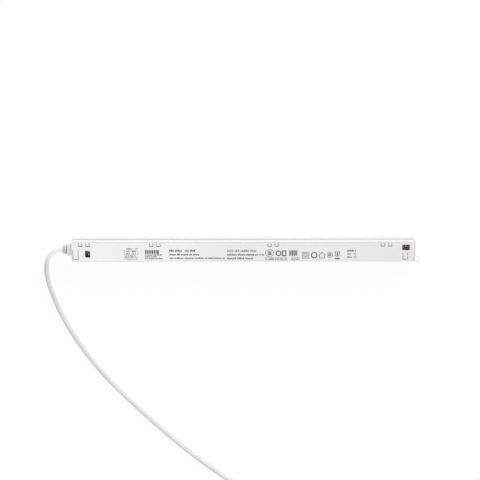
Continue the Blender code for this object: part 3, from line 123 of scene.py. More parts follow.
# Plug: its place, half its height, the round of its edges, and in mm half its outline, the lead's last two
# places, its pins' roots, sleeves and metal as (along, radius), and its sleeve on the lead
PLUG_PLACE = Vector((52.0, -248.3, 6.8)) * MM
PLUG_HEADING = math.radians(-9.0)
PLUG_HALF_HEIGHT, PLUG_ROUND = 6.8 * MM, 2.4 * MM
PLUG_OUTLINE = ((0.0, 7.0), (10.5, 11.2), (21.0, 12.0), (29.0, 16.4), (35.0, 17.65))
LEAD_LAST = (-24.8, -21.5)
PIN_OFFSET = 9.5 * MM
PIN_ROOT, PIN_SLEEVE = 34.9, 1.85
PIN_METAL = ((44.5, 1.85), (45.3, 1.85), (45.3, 2.0), (53.0, 2.0), (53.7, 1.75), (54.15, 1.2), (54.3, 0.0))
SLEEVE_LENGTH, SLEEVE_TIP, SLEEVE_ROOT = 22.0, 3.0, 5.0
SLEEVE_GROOVES, SLEEVE_DEPTH = 5, 0.7

# Windings and cans
WIRE_PITCH = 0.35 * MM
BAND = 0.314
CAN_RIM = 0.4 * MM
BARE_ALUMINIUM = (0.62, 0.62, 0.63)

# Camera, from the photograph's perspective
CAMERA_TILT = math.radians(14.544)
CAMERA_ROLL = math.radians(-0.075)
CAMERA_SHIFT = (-0.00663, 0.0138)
SENSOR_WIDTH = 36.0

# Floor, and the lamps: where the two suns come from, and each panel's x and width
FLOOR_HEIGHT = -0.05 * MM
FLOOR_GLOW, FLOOR_SHARE = 1.02, 0.86
SUN_ANGLE = math.radians(40.0)
KEY_FROM = (0.50, 0.78, 0.38)
FILL_FROM = (0.62, -0.75, 0.25)
PANELS = (("left_softbox", -0.21, 0.20), ("right_softbox", 0.15, 0.08))
PANEL_Y, PANEL_Z, PANEL_LENGTH = -0.28, 1.1, 0.3


# What a user would change
class SupplyHousing(bpy.types.PropertyGroup):
    edge: FloatProperty(name="Edge round", description="Width of the round along the moulded edges",
                        default=0.16 * MM, min=0.0, max=0.5 * MM, unit='LENGTH')
    colour: FloatVectorProperty(name="Plastic colour", description="Colour of the housing's plastic",
                                default=(0.86, 0.86, 0.857), min=0.0, max=1.0, subtype='COLOR')
    gloss: FloatProperty(name="Plastic roughness", description="Roughness of the housing's plastic",
                         default=0.27, min=0.0, max=1.0, subtype='FACTOR')


class SupplyPrint(bpy.types.PropertyGroup):
    thickness: FloatProperty(name="Ink thickness", description="Height of the ink above the label face",
                             default=0.02 * MM, min=0.005 * MM, max=0.1 * MM, unit='LENGTH')
    colour: FloatVectorProperty(name="Ink colour", description="Colour of the print",
                                default=(0.035, 0.035, 0.037), min=0.0, max=1.0, subtype='COLOR')
    seed: IntProperty(name="Print seed", description="Seed of the widths of the printed blocks",
                      default=7, min=0)


class SupplyClamp(bpy.types.PropertyGroup):
    block_colour: FloatVectorProperty(name="Clamp colour", description="Colour of the clamp blocks",
                                      default=(0.36, 0.18, 0.155), min=0.0, max=1.0, subtype='COLOR')
    metal_colour: FloatVectorProperty(name="Metal colour", description="Colour of the bars and screws",
                                      default=(0.36, 0.24, 0.225), min=0.0, max=1.0, subtype='COLOR')


class SupplyLead(bpy.types.PropertyGroup):
    length: FloatProperty(name="Lead length", description="Length of the lead from relief to plug",
                          default=1.5, min=0.1, max=5.0, unit='LENGTH')
    colour: FloatVectorProperty(name="Sheath colour", description="Colour of the lead and its plug",
                                default=(0.725, 0.725, 0.72), min=0.0, max=1.0, subtype='COLOR')


class SupplyStage(bpy.types.PropertyGroup):
    distance: FloatProperty(name="Camera distance", description="Distance of the camera from the body",
                            default=1.1, min=0.1, max=5.0, unit='LENGTH')
    lens: FloatProperty(name="Lens", description="Focal length in millimetres",
                        default=93.14, min=10.0, max=300.0, unit='CAMERA')
    key: FloatProperty(name="Key light", description="Strength of the low soft light on the lid's side",
                       default=1.6, min=0.0, max=20.0)
    fill: FloatProperty(name="Fill light", description="Strength of the low soft light from the other side",
                        default=0.5, min=0.0, max=20.0)
    panel: FloatProperty(name="Panel light", description="Brightness of the two panels above the label face",
                         default=7.0, min=0.0, max=20.0)
    sky: FloatProperty(name="Surround", description="Brightness of the white surround for matt light",
                       default=0.545, min=0.0, max=2.0)


# Shader expressions
class Wire:
    """An output of a shader node, used in plain sums."""

    def __init__(self, surface, socket):
        self.surface = surface
        self.socket = socket

    def maths(self, operation, first, second=None):
        values = {0: first} if second is None else {0: first, 1: second}
        return self.surface.node("ShaderNodeMath", {"operation": operation}, values)

    def __add__(self, other):
        return self.maths('ADD', self, other)

    __radd__ = __add__

    def __sub__(self, other):
        return self.maths('SUBTRACT', self, other)

    def __rsub__(self, other):
        return self.maths('SUBTRACT', other, self)

    def __mul__(self, other):
        return self.maths('MULTIPLY', self, other)

    __rmul__ = __mul__

    def __gt__(self, other):
        return self.maths('GREATER_THAN', self, other)

    def __abs__(self):
        return self.maths('ABSOLUTE', self)


class Surface:
    """A material under construction: its nodes are added by expressions."""

    def __init__(self, name):
        self.material = bpy.data.materials.new(name)
        self.material.use_nodes = True
        self.tree = self.material.node_tree
        self.tree.nodes.clear()
        self.output = self.tree.nodes.new("ShaderNodeOutputMaterial")

    def node(self, kind, settings=None, sockets=None, out=0):
        """Add one node: its settings first, then its sockets' values or links. Returns one output."""
        made = self.tree.nodes.new(kind)
        for key, value in (settings or {}).items():
            setattr(made, key, value)
        for key, value in (sockets or {}).items():
            self.feed(self.find(made.inputs, key), value)
        return Wire(self, self.find(made.outputs, out))

    @staticmethod
    def find(sockets, key):
        if isinstance(key, int):
            return sockets[key]
        for socket in sockets:
            if socket.identifier == key:
                return socket
        return sockets[key]

    def feed(self, socket, value):
        if isinstance(value, Wire):
            self.tree.links.new(value.socket, socket)
        elif socket.type == 'RGBA' and len(value) == 3:
            socket.default_value = (*value, 1.0)
        else:
            socket.default_value = value

    def here(self):
        """Object coordinates."""
        return self.node("ShaderNodeTexCoord", out="Object")

    def drawn_out(self, length):
        """Object coordinates for a pattern that is a number of times as long along x."""
        return self.node("ShaderNodeMapping", {"vector_type": 'TEXTURE'},
                         {"Vector": self.here(), "Scale": (length, 1.0, 1.0)})

    def along(self, axis):
        """One object coordinate."""
        return self.node("ShaderNodeSeparateXYZ", None, {"Vector": self.here()}, axis)

    def noise(self, size, detail=2.0, roughness=0.5, where=None):
        """Noise from 0 to 1 whose features have a given size in metres."""
        sockets = {"Vector": where or self.here(), "Scale": 1.0 / size, "Detail": detail,
                   "Roughness": roughness}
        return self.node("ShaderNodeTexNoise", {"noise_dimensions": '3D'}, sockets)

    def waves(self, axis, scale, distortion):
        """Even bands across one axis."""
        sockets = {"Vector": self.here(), "Scale": scale, "Distortion": distortion, "Detail": 1.0}
        return self.node("ShaderNodeTexWave", {"wave_type": 'BANDS', "bands_direction": axis}, sockets, "Fac")

    def spread(self, value, low, high, start=0.0, end=1.0):
        """Map a range to another, held at its ends."""
        return self.node("ShaderNodeMapRange", {"clamp": True},
                         {"Value": value, "From Min": low, "From Max": high, "To Min": start, "To Max": end})

    def mix(self, factor, first, second):
        """Mix two colours."""
        return self.node("ShaderNodeMix", {"data_type": 'RGBA'},
                         {"Factor_Float": factor, "A_Color": first, "B_Color": second}, "Result_Color")

    def bump(self, height, distance, strength=1.0):
        return self.node("ShaderNodeBump", None,
                         {"Height": height, "Distance": distance, "Strength": strength})

    def finish(self, **sockets):
        """Close the material with its shader. Socket names are given with _ for a space."""
        shader = self.node("ShaderNodeBsdfPrincipled", None,
                           {key.replace("_", " "): value for key, value in sockets.items()})
        self.tree.links.new(shader.socket, self.output.inputs["Surface"])
        return self.material


def shade(colour, factor):
    return tuple(min(1.0, part * factor) for part in colour)


def moulded_plastic(name, colour, roughness, grain=0.3 * MM, shade_box=None, groove=None):
    """Fine-grained moulded plastic with faint flow streaks and marks.

    Its faces inside a given box get painted shade, darker as if shadowed, and so does the lid's long groove.
    """
    s = Surface(name)
    flow = s.noise(14 * MM, 3.0, 0.6, s.drawn_out(6.0))
    cloud = s.noise(38 * MM, 2.0)
    speck = s.spread(s.noise(1.1 * MM, 1.0), 0.70, 0.76)
    tint = s.mix(s.spread(flow * 0.6 + cloud * 0.4, 0.3, 0.7), shade(colour, 0.975), colour)
    tint = s.mix(speck * 0.10, tint, shade(colour, 0.82))
    # Painted shade: faces inside the box, seen through the slots, windows and seams, are darkened as if
    # shadowed.
    if shade_box:
        low, high = shade_box
        painted_inner_shade = 1.0
        for axis, least, most in zip("XYZ", low, high):
            reach = (most - least) / 2
            painted_inner_shade = s.spread(abs(s.along(axis) - (least + reach)), reach - 0.1 * MM, reach, 1.0, 0.0) * painted_inner_shade
        tint = s.mix(painted_inner_shade * (0.75 + cloud * 0.25), tint, shade(colour, 0.5))
    # Painted shade along the floor of the lid's groove.
    if groove:
        depth = s.spread(s.along("Y"), CAP_HIGH.y - PAINTED_SHADE_FULL, CAP_HIGH.y - PAINTED_SHADE_NONE, 1.0, 0.0)
        inside = s.spread(abs(s.along("Z") - Z_AXIS), GROOVE_HALF, GROOVE_HALF + 0.1 * MM, 1.0, 0.0)
        tint = s.mix(depth * inside * (0.7 + flow * 0.5), tint, shade(colour, groove))
    rough = s.spread(cloud, 0.3, 0.7, roughness - 0.03, roughness + 0.05)
    skin = s.noise(grain, 2.0, 0.6)
    waves = s.noise(40 * MM, 1.0, 0.5, s.drawn_out(2.0))
    fine = s.bump(skin, 0.003 * MM, 0.4)
    normal = s.node("ShaderNodeBump", None, {"Height": waves, "Distance": 0.03 * MM, "Strength": 0.5,
                                             "Normal": fine})
    return s.finish(Base_Color=tint, Roughness=rough, Normal=normal, IOR=1.5)


def sheath_rubber(name, colour, roughness=0.42, slots=(), painted_light_span=None):
    """Matt soft sheath with a faint grain, slight soiling and painted shade in its slots, each from one x to
    another.

    Past two places along y it is paler with painted light, as pale as its strain relief.
    """
    s = Surface(name)
    soil = s.noise(9 * MM, 4.0, 0.65)
    tint = s.mix(s.spread(soil, 0.35, 0.7), colour, shade(colour, 0.93))
    # Painted light: past two places along y the sheath is paler.
    if painted_light_span:
        tint = s.mix(s.spread(s.along("Y"), *painted_light_span), tint, shade(colour, RELIEF_PAINTED_LIGHT))
    # Painted shade in each slot, darker as if shadowed.
    for left, right in slots:
        half = (right - left) / 2
        slot_shade = s.spread(abs(s.along("X") - (left + half)), half - 0.05 * MM, half + 0.15 * MM, 1.0, 0.0)
        tint = s.mix(slot_shade * (soil * 0.4 + 0.6), tint, shade(colour, 0.42))
    rough = s.spread(s.noise(3 * MM, 2.0), 0.3, 0.7, roughness - 0.04, roughness + 0.06)
    return s.finish(Base_Color=tint, Roughness=rough, Normal=s.bump(s.noise(0.5 * MM, 3.0), 0.012 * MM, 0.6))


def dark_moulding(name, colour):
    """Dark red-brown thermoset with a mottled skin."""
    s = Surface(name)
    mottle = s.noise(0.9 * MM, 4.0, 0.7)
    tint = s.mix(s.spread(mottle, 0.35, 0.68), shade(colour, 0.7), shade(colour, 1.7))
    rough = s.spread(s.noise(2.2 * MM, 2.0), 0.3, 0.7, 0.36, 0.52)
    return s.finish(Base_Color=tint, Roughness=rough, Normal=s.bump(mottle, 0.02 * MM, 0.5))


def worked_metal(name, colour, roughness=0.34, squeeze=0.12, tarnish=0.45):
    """Metal with rolling or brushing marks along x, and a little tarnish."""
    s = Surface(name)
    marks = s.noise(0.25 * MM, 3.0, 0.6, s.drawn_out(1.0 / squeeze))
    stain = s.spread(s.noise(1.6 * MM, 4.0, 0.6), 0.42, 0.66)
    tint = s.mix(stain * tarnish, colour, shade(colour, 0.55))
    rough = stain * (tarnish * 0.3) + marks * 0.10 + (roughness - 0.08)
    return s.finish(Base_Color=tint, Metallic=1.0, Roughness=rough, Normal=s.bump(marks, 0.006 * MM, 0.5))


def printed_ink(name, colour):
    """Pad-printed ink, slightly uneven in density."""
    s = Surface(name)
    density = s.spread(s.noise(0.7 * MM, 3.0), 0.3, 0.72)
    tint = s.mix(density, shade(colour, 0.8), shade(colour, 1.9))
    return s.finish(Base_Color=tint, Roughness=s.spread(density, 0.0, 1.0, 0.42, 0.55))


def laminate(name, colour):
    """Paper laminate board with a cloth weave showing through."""
    s = Surface(name)
    weave = s.waves('X', 0.3 / MM, 1.2) * s.waves('Z', 0.3 / MM, 1.2)
    fibre = s.noise(1.5 * MM, 5.0, 0.7)
    tint = s.mix(s.spread(weave * 0.5 + fibre * 0.5, 0.2, 0.75), shade(colour, 0.8), shade(colour, 1.15))
    return s.finish(Base_Color=tint, Roughness=s.spread(fibre, 0.3, 0.7, 0.5, 0.66),
                    Normal=s.bump(weave, 0.015 * MM, 0.6))


def coated_part(name, colour, roughness=0.45, size=1.2 * MM):
    """Dipped or moulded component body: slight orange peel and clouding."""
    s = Surface(name)
    peel = s.noise(size, 3.0, 0.55)
    cloud = s.noise(5 * MM, 2.0)
    tint = s.mix(s.spread(cloud, 0.3, 0.7), shade(colour, 0.86), shade(colour, 1.1))
    rough = s.spread(peel, 0.3, 0.7, roughness - 0.06, roughness + 0.08)
    return s.finish(Base_Color=tint, Roughness=rough, Normal=s.bump(peel, 0.02 * MM, 0.5))


def wound_wire(name, colour):
    """Lacquered copper wire wound side by side."""
    s = Surface(name)
    turns = s.waves('X', BAND / WIRE_PITCH, 0.6)
    lacquer = s.noise(2.4 * MM, 3.0)
    # Painted shade: the bands between the turns are darkened where shade falls between the wires.
    tint = s.mix(s.spread(turns, 0.1, 0.8), shade(colour, 0.35), s.mix(s.spread(lacquer, 0.35, 0.7),
                                                                       colour, shade(colour, 0.8)))
    return s.finish(Base_Color=tint, Metallic=0.85, Roughness=s.spread(lacquer, 0.3, 0.7, 0.26, 0.4),
                    Normal=s.bump(turns, 0.10 * MM, 0.9))


def wrapped_can(name, sleeve, low_x, high_x):
    """Capacitor can: a creased sleeve, and bare metal at both ends."""
    s = Surface(name)
    here = s.along("X")
    bare = here.maths('LESS_THAN', here, low_x + CAN_RIM) + (here > high_x - CAN_RIM)
    crease = s.noise(2 * MM, 3.0)
    tint = s.mix(s.spread(crease, 0.3, 0.7), shade(sleeve, 0.8), shade(sleeve, 1.25))
    tint = s.mix(bare, tint, BARE_ALUMINIUM)
    return s.finish(Base_Color=tint, Metallic=bare, Roughness=s.spread(crease, 0.3, 0.7, 0.3, 0.42),
                    Normal=s.bump(crease, 0.02 * MM, 0.5))


# Shape tools
def keep(name, shape, material, smooth=35.0, replaced=(), weighted=False):
    """Close a bmesh into a piece that rides on the body, and hide the parts it stands for."""
    mesh = bpy.data.meshes.new(name)
    shape.to_mesh(mesh)
    shape.free()
    mesh.materials.append(material)
    mesh.shade_smooth()
    mesh.set_sharp_from_angle(angle=math.radians(smooth))
    piece = bpy.data.objects.new(name, mesh)
    bpy.context.scene.collection.objects.link(piece)
    if weighted:
        even = piece.modifiers.new("even_faces", 'WEIGHTED_NORMAL')
        even.keep_sharp = True
    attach(piece, "root")
    if replaced:
        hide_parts(*replaced)
    return piece


def bevel(shape, edges, offset, segments, clamp=True):
    bmesh.ops.bevel(shape, geom=list(edges), offset=offset, offset_type='OFFSET', affect='EDGES',
                    segments=segments, profile=0.5, material=-1, clamp_overlap=clamp)


def move_grown(shape, grown, way):
    """Move the vertices that an extrusion has made."""
    verts = [part for part in grown["geom"] if isinstance(part, bmesh.types.BMVert)]
    bmesh.ops.translate(shape, verts=verts, vec=way)


def add_prism(shape, outline, start, end):
    """An outline in (x, y) made solid from one height to another."""
    face = shape.faces.new([shape.verts.new((x, y, start)) for x, y in outline])
    move_grown(shape, bmesh.ops.extrude_face_region(shape, geom=[face]), (0.0, 0.0, end - start))


def turned(profile, place, steps=48):
    """A closed solid from a profile of (along, radius) points, turned about local X."""
    shape = bmesh.new()
    verts = [shape.verts.new((along, radius, 0.0)) for along, radius in profile]
    edges = [shape.edges.new(pair) for pair in zip(verts, verts[1:])]
    bmesh.ops.spin(shape, geom=verts + edges, cent=(0, 0, 0), axis=(1, 0, 0), dvec=(0, 0, 0),
                   angle=2 * math.pi, steps=steps, use_merge=True, use_duplicate=False)
    bmesh.ops.remove_doubles(shape, verts=shape.verts, dist=1e-7)
    bmesh.ops.transform(shape, matrix=place, verts=shape.verts)
    bmesh.ops.recalc_face_normals(shape, faces=shape.faces)
    return shape


def frame_copy(node):
    """A merged copy of a node's mesh, with its flat faces whole again."""
    shape = bmesh.new()
    shape.from_mesh(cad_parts[node].data)
    bmesh.ops.remove_doubles(shape, verts=shape.verts, dist=1e-6)
    bmesh.ops.dissolve_limit(shape, angle_limit=math.radians(0.5), verts=shape.verts, edges=shape.edges)
    return shape


def sharp_edges(shape, wanted, shortest):
    """Edges that turn sharply, are long enough and lie where they are wanted."""
    return [e for e in shape.edges
            if len(e.link_faces) == 2 and e.calc_face_angle(0.0) > SHARP
            and e.calc_length() > shortest and wanted((e.verts[0].co + e.verts[1].co) / 2)]


def folded_places(shape):
    """Corners of the triangles that lie askew in their own face, where a round was too wide."""
    places = []
    for loops in shape.calc_loop_triangles():
        a, b, c = (loop.vert.co for loop in loops)
        across = (b - a).cross(c - a)
        if across.length > SLIVER and across.normalized().dot(loops[0].face.normal) < LEAN:
            places += [a.copy(), b.copy(), c.copy()]
    return places


def rounded_copy(node, width, wanted=lambda place: True, shortest=0.12 * MM):
    """A merged copy of a node with its sharp edges rounded, apart from those in tight places."""
    tight = []
    for _ in range(ROUNDING_TRIES):
        shape = frame_copy(node)
        edges = [e for e in sharp_edges(shape, wanted, shortest)
                 if not any((v.co - place).length < TIGHT for v in e.verts for place in tight)]
        bevel(shape, edges, width, 2, clamp=False)
        shape.normal_update()
        folded = folded_places(shape)
        if not folded:
            return shape
        tight += folded
        shape.free()
    raise RuntimeError("the edges of %s can't be rounded by %.2f mm" % (node, width / MM))


# Housing
def close_seams(shape, node):
    """Bring the wall tops up to the lid's lips and the output end up to its cap: only hair lines show."""
    if node == "housing_base":
        rim = [v for v in shape.verts if v.co.y > BODY_HIGH.y - SKIN]
        bmesh.ops.translate(shape, verts=rim, vec=(0.0, LIP_SEAM, 0.0))
    end = [v for v in shape.verts if v.co.x > BODY_HIGH.x - SKIN]
    bmesh.ops.translate(shape, verts=end, vec=(CAP_SEAM, 0.0, 0.0))


class SUPPLY_OT_housing(bpy.types.Operator):
    """Dress the housing base, the lid and both end caps: rounded edges and moulded plastic"""
    bl_idname = "supply.housing"
    bl_label = "Housing"

    def execute(self, context):
        housing = context.scene.supply_housing
        colour = tuple(housing.colour)
        white = moulded_plastic("moulded_white", colour, housing.gloss, shade_box=PAINTED_SHADE_BOX)
        grooved = moulded_plastic("moulded_white_grooved", colour, housing.gloss, shade_box=PAINTED_SHADE_BOX,
                                  groove=GROOVE_PAINTED_SHADE)

        def outside(p):
            return p.z > Z_LABEL - SKIN or p.z < SKIN or p.y < BODY_LOW.y + SKIN or p.x < X_INPUT + SKIN

        def lid_outside(p):
            return p.y > CAP_HIGH.y - SKIN or p.x < X_INPUT + SKIN or p.z > Z_LABEL - SKIN or p.z < SKIN

        for node, share, wanted in (("housing_base", 1.0, outside), ("housing_lid", 0.6, lid_outside),
                                    ("input_end_cap", 1.0, lambda p: p.x < X_INPUT + SKIN),
                                    ("output_end_cap", 1.0, lambda p: p.x > BODY_HIGH.x)):
            shape = rounded_copy(node, housing.edge * share, wanted)
            if node in ("housing_base", "housing_lid"):
                close_seams(shape, node)
            finish = grooved if node == "housing_lid" else white
            keep("dressed_" + node, shape, finish, replaced=[node], weighted=True)
        return {'FINISHED'}


# Print
# Field of heavy bars: its left end and stretch, and each bar's left and width
HEAVY_LEFT, HEAVY_STRETCH = -86.0, 0.88
HEAVY_BARS = ((0.0, 1.0), (1.5, 1.4), (3.6, 1.2), (5.3, 0.9), (6.7, 1.5), (9.0, 1.3), (10.8, 0.8),
              (12.1, 1.7))


def rounded_outline(centre, width, height, corner, segments):
    outline = []
    for index, (sx, sy) in enumerate(((1, 1), (-1, 1), (-1, -1), (1, -1))):
        for step in range(segments + 1):
            turn = math.radians(90 * index + 90 * step / segments)
            outline.append((centre[0] + sx * (width / 2 - corner) + corner * math.cos(turn),
                            centre[1] + sy * (height / 2 - corner) + corner * math.sin(turn)))
    return outline


class PrintSheet:
    """Collects inked marks on the label face as thin solids. Sizes are in millimetres."""

    def __init__(self, thickness, seed):
        self.shape = bmesh.new()
        self.low = Z_LABEL - 0.01 * MM
        self.high = Z_LABEL + thickness
        self.draw = random.Random(seed)

    def solid(self, outline):
        add_prism(self.shape, [(x * MM, y * MM) for x, y in outline], self.low, self.high)

    def bar(self, x0, y0, x1, y1):
        self.solid([(x0, y0), (x1, y0), (x1, y1), (x0, y1)])

    def thicken(self, faces):
        """Make faces at the foot of the ink solid, up to its top."""
        grown = bmesh.ops.extrude_face_region(self.shape, geom=faces)
        move_grown(self.shape, grown, (0.0, 0.0, self.high - self.low))

    def ring(self, x, y, radius, line, sides=28):
        """A closed ring from two circles, bridged and made solid."""
        place = Matrix.Translation((x * MM, y * MM, self.low))
        edges = set()
        for size in (radius, radius - line):
            circle = bmesh.ops.create_circle(self.shape, cap_ends=False, radius=size * MM, segments=sides,
                                             matrix=place)
            edges.update(e for v in circle["verts"] for e in v.link_edges)
        self.thicken(bmesh.ops.bridge_loops(self.shape, edges=list(edges))["faces"])

    def frame(self, points, line):
        """An outlined polygon: a face inset by the line's width, its middle taken out, made solid."""
        face = self.shape.faces.new([self.shape.verts.new((x * MM, y * MM, self.low)) for x, y in points])
        face.normal_update()
        rim = bmesh.ops.inset_region(self.shape, faces=[face], thickness=line * MM, use_even_offset=True,
                                     use_boundary=True)["faces"]
        bmesh.ops.delete(self.shape, geom=[face], context='FACES_ONLY')
        self.thicken(rim)

    def box(self, x0, y0, x1, y1, line):
        """An outlined rectangle from four bars."""
        self.bar(x0, y0, x1, y0 + line)
        self.bar(x0, y1 - line, x1, y1)
        self.bar(x0, y0 + line, x0 + line, y1 - line)
        self.bar(x1 - line, y0 + line, x1, y1 - line)

    def blocks(self, x0, x1, y, height, weight=1.0):
        """A row of small blocks of uneven width, as a line of print looks from afar."""
        x = x0
        while x < x1 - 0.3:
            word = self.draw.randint(2, 7)
            for _ in range(word):
                wide = height * self.draw.uniform(0.34, 0.62)
                if x + wide > x1:
                    return
                tall = height * self.draw.choice((0.72, 0.72, 1.0))
                self.bar(x, y, x + wide * weight, y + tall)
                x += wide + height * 0.16
            x += height * 0.42


class SUPPLY_OT_print(bpy.types.Operator):
    """Print generic blocks, boxes and rings on the label face"""
    bl_idname = "supply.print"
    bl_label = "Print"

    def execute(self, context):
        values = context.scene.supply_print
        ink = printed_ink("print_ink", tuple(values.colour))
        sheet = PrintSheet(values.thickness, values.seed)
        # Wiring field at the input end
        sheet.blocks(-102.1, -96.3, 2.2, 1.4, 1.1)
        sheet.blocks(-94.9, -91.7, 2.4, 1.0, 0.7)
        sheet.frame([(-104.1, 1.3), (-104.1, -2.7), (-93.1, -2.7), (-91.9, -1.7), (-91.9, 0.3),
                     (-93.1, 1.3)], 0.24)
        for y in (-0.2, -2.0):
            sheet.blocks(-102.3, -98.9, y, 1.1)
            sheet.blocks(-97.3, -93.9, y, 1.1)
        for y, weight, end in ((-4.2, 1.0, -93.7), (-5.7, 0.9, -92.1), (-7.3, 0.5, -92.1)):
            sheet.blocks(-103.7, end, y, 1.1, weight)
        # Heavy field: bars of uneven width over three lines
        for left, wide in HEAVY_BARS:
            start, end = (HEAVY_LEFT + place * HEAVY_STRETCH for place in (left, left + wide))
            sheet.bar(start, -1.8, end, 1.7)
        for y, end in ((-3.3, -71.3), (-4.9, -75.9), (-6.6, -70.9)):
            sheet.blocks(-86.1, end, y, 1.15, 1.1)
        # Title and two lines
        sheet.blocks(-64.8, -52.4, 0.1, 1.95)
        sheet.blocks(-51.2, -41.6, 0.1, 1.95, 1.1)
        sheet.blocks(-64.6, -37.6, -3.25, 1.7)
        sheet.blocks(-64.6, -16.2, -6.5, 1.75, 0.9)
        # Second column
        sheet.blocks(-14.3, 11.2, 0.0, 1.8, 0.85)
        sheet.blocks(-14.3, 2.0, -3.45, 1.9, 0.95)
        sheet.blocks(2.4, 9.0, -3.45, 1.9, 1.1)
        sheet.blocks(9.8, 18.6, -3.4, 1.6, 0.9)
        sheet.blocks(-14.3, 8.6, -6.8, 1.8, 0.9)
        # Generic shapes in a row
        sheet.frame(rounded_outline((22.7, -1.1), 7.7, 6.1, 2.9, 6), 0.5)
        for y in (-2.7, -1.6, -0.5):
            sheet.blocks(21.0, 24.7, y, 0.95, 1.25)
        sheet.ring(30.5, -1.4, 2.55, 0.95)
        sheet.frame([(33.5, -4.0), (37.2, -4.0), (37.2, 1.2), (33.5, 1.2)], 0.9)
        for index in range(7):
            left = 39.7 + index * 1.08
            sheet.bar(left, -4.0 + 0.7 * (index % 2), left + 0.6 + 0.14 * (index % 3), 1.3)
        for y in (-6.1, -7.6):
            sheet.blocks(18.8, 38.2, y, 1.2, 0.8)
            sheet.blocks(41.8, 49.4, y, 1.2, 0.8)
        sheet.box(51.1, -6.1, 57.0, -0.2, 0.4)
        sheet.box(52.2, -5.0, 55.9, -1.3, 0.25)
        sheet.ring(54.05, -3.15, 1.5, 0.35, 20)
        sheet.ring(61.6, -3.1, 2.85, 0.95)
        sheet.frame([(66.2, -5.9), (70.6, -5.9), (71.4, -2.7), (68.5, -0.2), (65.6, -2.7)], 0.5)
        sheet.ring(75.2, -2.8, 2.6, 0.4)
        sheet.ring(75.2, -2.8, 1.35, 0.8, 20)
        sheet.frame([(80.2, -4.2), (83.4, -4.2), (84.1, 0.1), (79.5, 0.1)], 0.5)
        sheet.bar(81.3, -3.2, 82.4, -0.9)
        sheet.bar(79.7, -6.7, 84.0, -5.6)
        # Output terminals: a plus and a minus in rings
        sheet.blocks(90.2, 98.2, 0.2, 1.6, 1.1)
        for y in (-2.0, -5.0):
            sheet.blocks(90.2, 94.4, y - 0.6, 1.4)
            sheet.ring(97.2, y, 1.15, 0.25, 20)
            sheet.bar(96.55, y - 0.12, 97.85, y + 0.12)
        sheet.bar(97.08, -2.65, 97.32, -2.13)
        sheet.bar(97.08, -1.87, 97.32, -1.35)
        bmesh.ops.recalc_face_normals(sheet.shape, faces=sheet.shape.faces)
        keep("label_print", sheet.shape, ink, smooth=20.0)
        return {'FINISHED'}


# Clamps
class SUPPLY_OT_clamps(bpy.types.Operator):
    """Dress the cord clamps behind both windows: blocks, bars and screws"""
    bl_idname = "supply.clamps"
    bl_label = "Clamps"

    def execute(self, context):
        values = context.scene.supply_clamp
        dark = dark_moulding("clamp_moulding", tuple(values.block_colour))
        metal = worked_metal("clamp_bronze", tuple(values.metal_colour))
        for end, share in BAR_PAINTED_LIGHT.items():
            # Painted light and shade: the input's bar is a darker and the output's a lighter copy of one
            # bronze.
            bar = worked_metal(end + "_bar_bronze", shade(tuple(values.metal_colour), share), 0.42)
            block = end + "_clamp_block"
            shape = rounded_copy(block, BLOCK_ROUND, shortest=BLOCK_SHORTEST)
            keep("dressed_" + block, shape, dark, replaced=[block], weighted=True)
            for part, finish in (("_clamp_bar", bar), ("_clamp_screw_1", metal), ("_clamp_screw_2", metal)):
                shape = rounded_copy(end + part, METAL_ROUND, shortest=METAL_SHORTEST)
                keep("dressed_" + end + part, shape, finish, replaced=[end + part],
                     weighted=True)
        return {'FINISHED'}


# Strain relief
def rounded_ribs(ribs, waist):
    """Profile of (left, right, radius) ribs with rounded shoulders over a waist."""
    profile = []
    low, high = waist + RELIEF_FILLET * 0.7, waist + RELIEF_FILLET * 1.6
    for left, right, radius in ribs:
        edge = min(0.4 * MM, (right - left) / 2.2)
        profile += [(left - RELIEF_FILLET, waist), (left - 0.05 * MM, low), (left, high),
                    (left, radius - edge), (left + edge * 0.3, radius - edge * 0.3), (left + edge, radius),
                    (right - edge, radius), (right - edge * 0.3, radius - edge * 0.3), (right, radius - edge),
                    (right, high), (right + 0.05 * MM, low), (right + RELIEF_FILLET, waist)]
    return profile[2:]


class SUPPLY_OT_relief(bpy.types.Operator):
    """Turn the ribbed strain relief at the input end"""
    bl_idname = "supply.relief"
    bl_label = "Strain relief"

    def execute(self, context):
        low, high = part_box("strain_relief")
        slots = [(low.x + start * MM, low.x + end * MM) for start, end in RELIEF_SLOTS]
        # Painted light: the relief's rubber is the sheath's colour made paler.
        colour = shade(tuple(context.scene.supply_lead.colour), RELIEF_PAINTED_LIGHT)
        rubber = sheath_rubber("relief_rubber", colour, 0.45, slots)
        collar = (high.y - low.y) / 2 - 0.25 * MM
        ribs = [(low.x + start * MM, low.x + end * MM, radius)
                for start, end, radius in ((0.02, 0.40, RELIEF_RIB - 0.2 * MM), (1.6, 2.5, RELIEF_RIB),
                                           (4.2, 8.4, collar), (10.0, 11.1, collar))]
        profile = [(low.x, 0.0), (low.x, RELIEF_WAIST)] + rounded_ribs(ribs, RELIEF_WAIST)
        profile += [(high.x - 0.6 * MM, CORD_RADIUS + 0.8 * MM), (high.x, CORD_RADIUS + 0.3 * MM),
                    (high.x, 0.0)]
        shape = turned(profile, Matrix.Translation((0.0, 0.0, Z_AXIS)))
        keep("relief_sleeve", shape, rubber, 50.0, ["strain_relief"])
        return {'FINISHED'}


# Lead
def smooth_step(share):
    share = max(0.0, min(1.0, share))
    return share * share * (3 - 2 * share)


def coil_slot(turns):
    """Slot, from the inside, and layer that a count of turns along the coil has reached."""
    slot = float(COIL_SLOTS - 1)
    for index in range(1, COIL_SLOTS):
        slot -= smooth_step((turns - index) / COIL_CROSSING + 1)
    lifted = turns - (COIL_SLOTS - 1 + COIL_PHASE)
    for index in range(1, COIL_SLOTS - 1):
        slot += smooth_step((lifted - index) / COIL_CROSSING + 1)
    return slot, smooth_step(lifted / COIL_RISE)


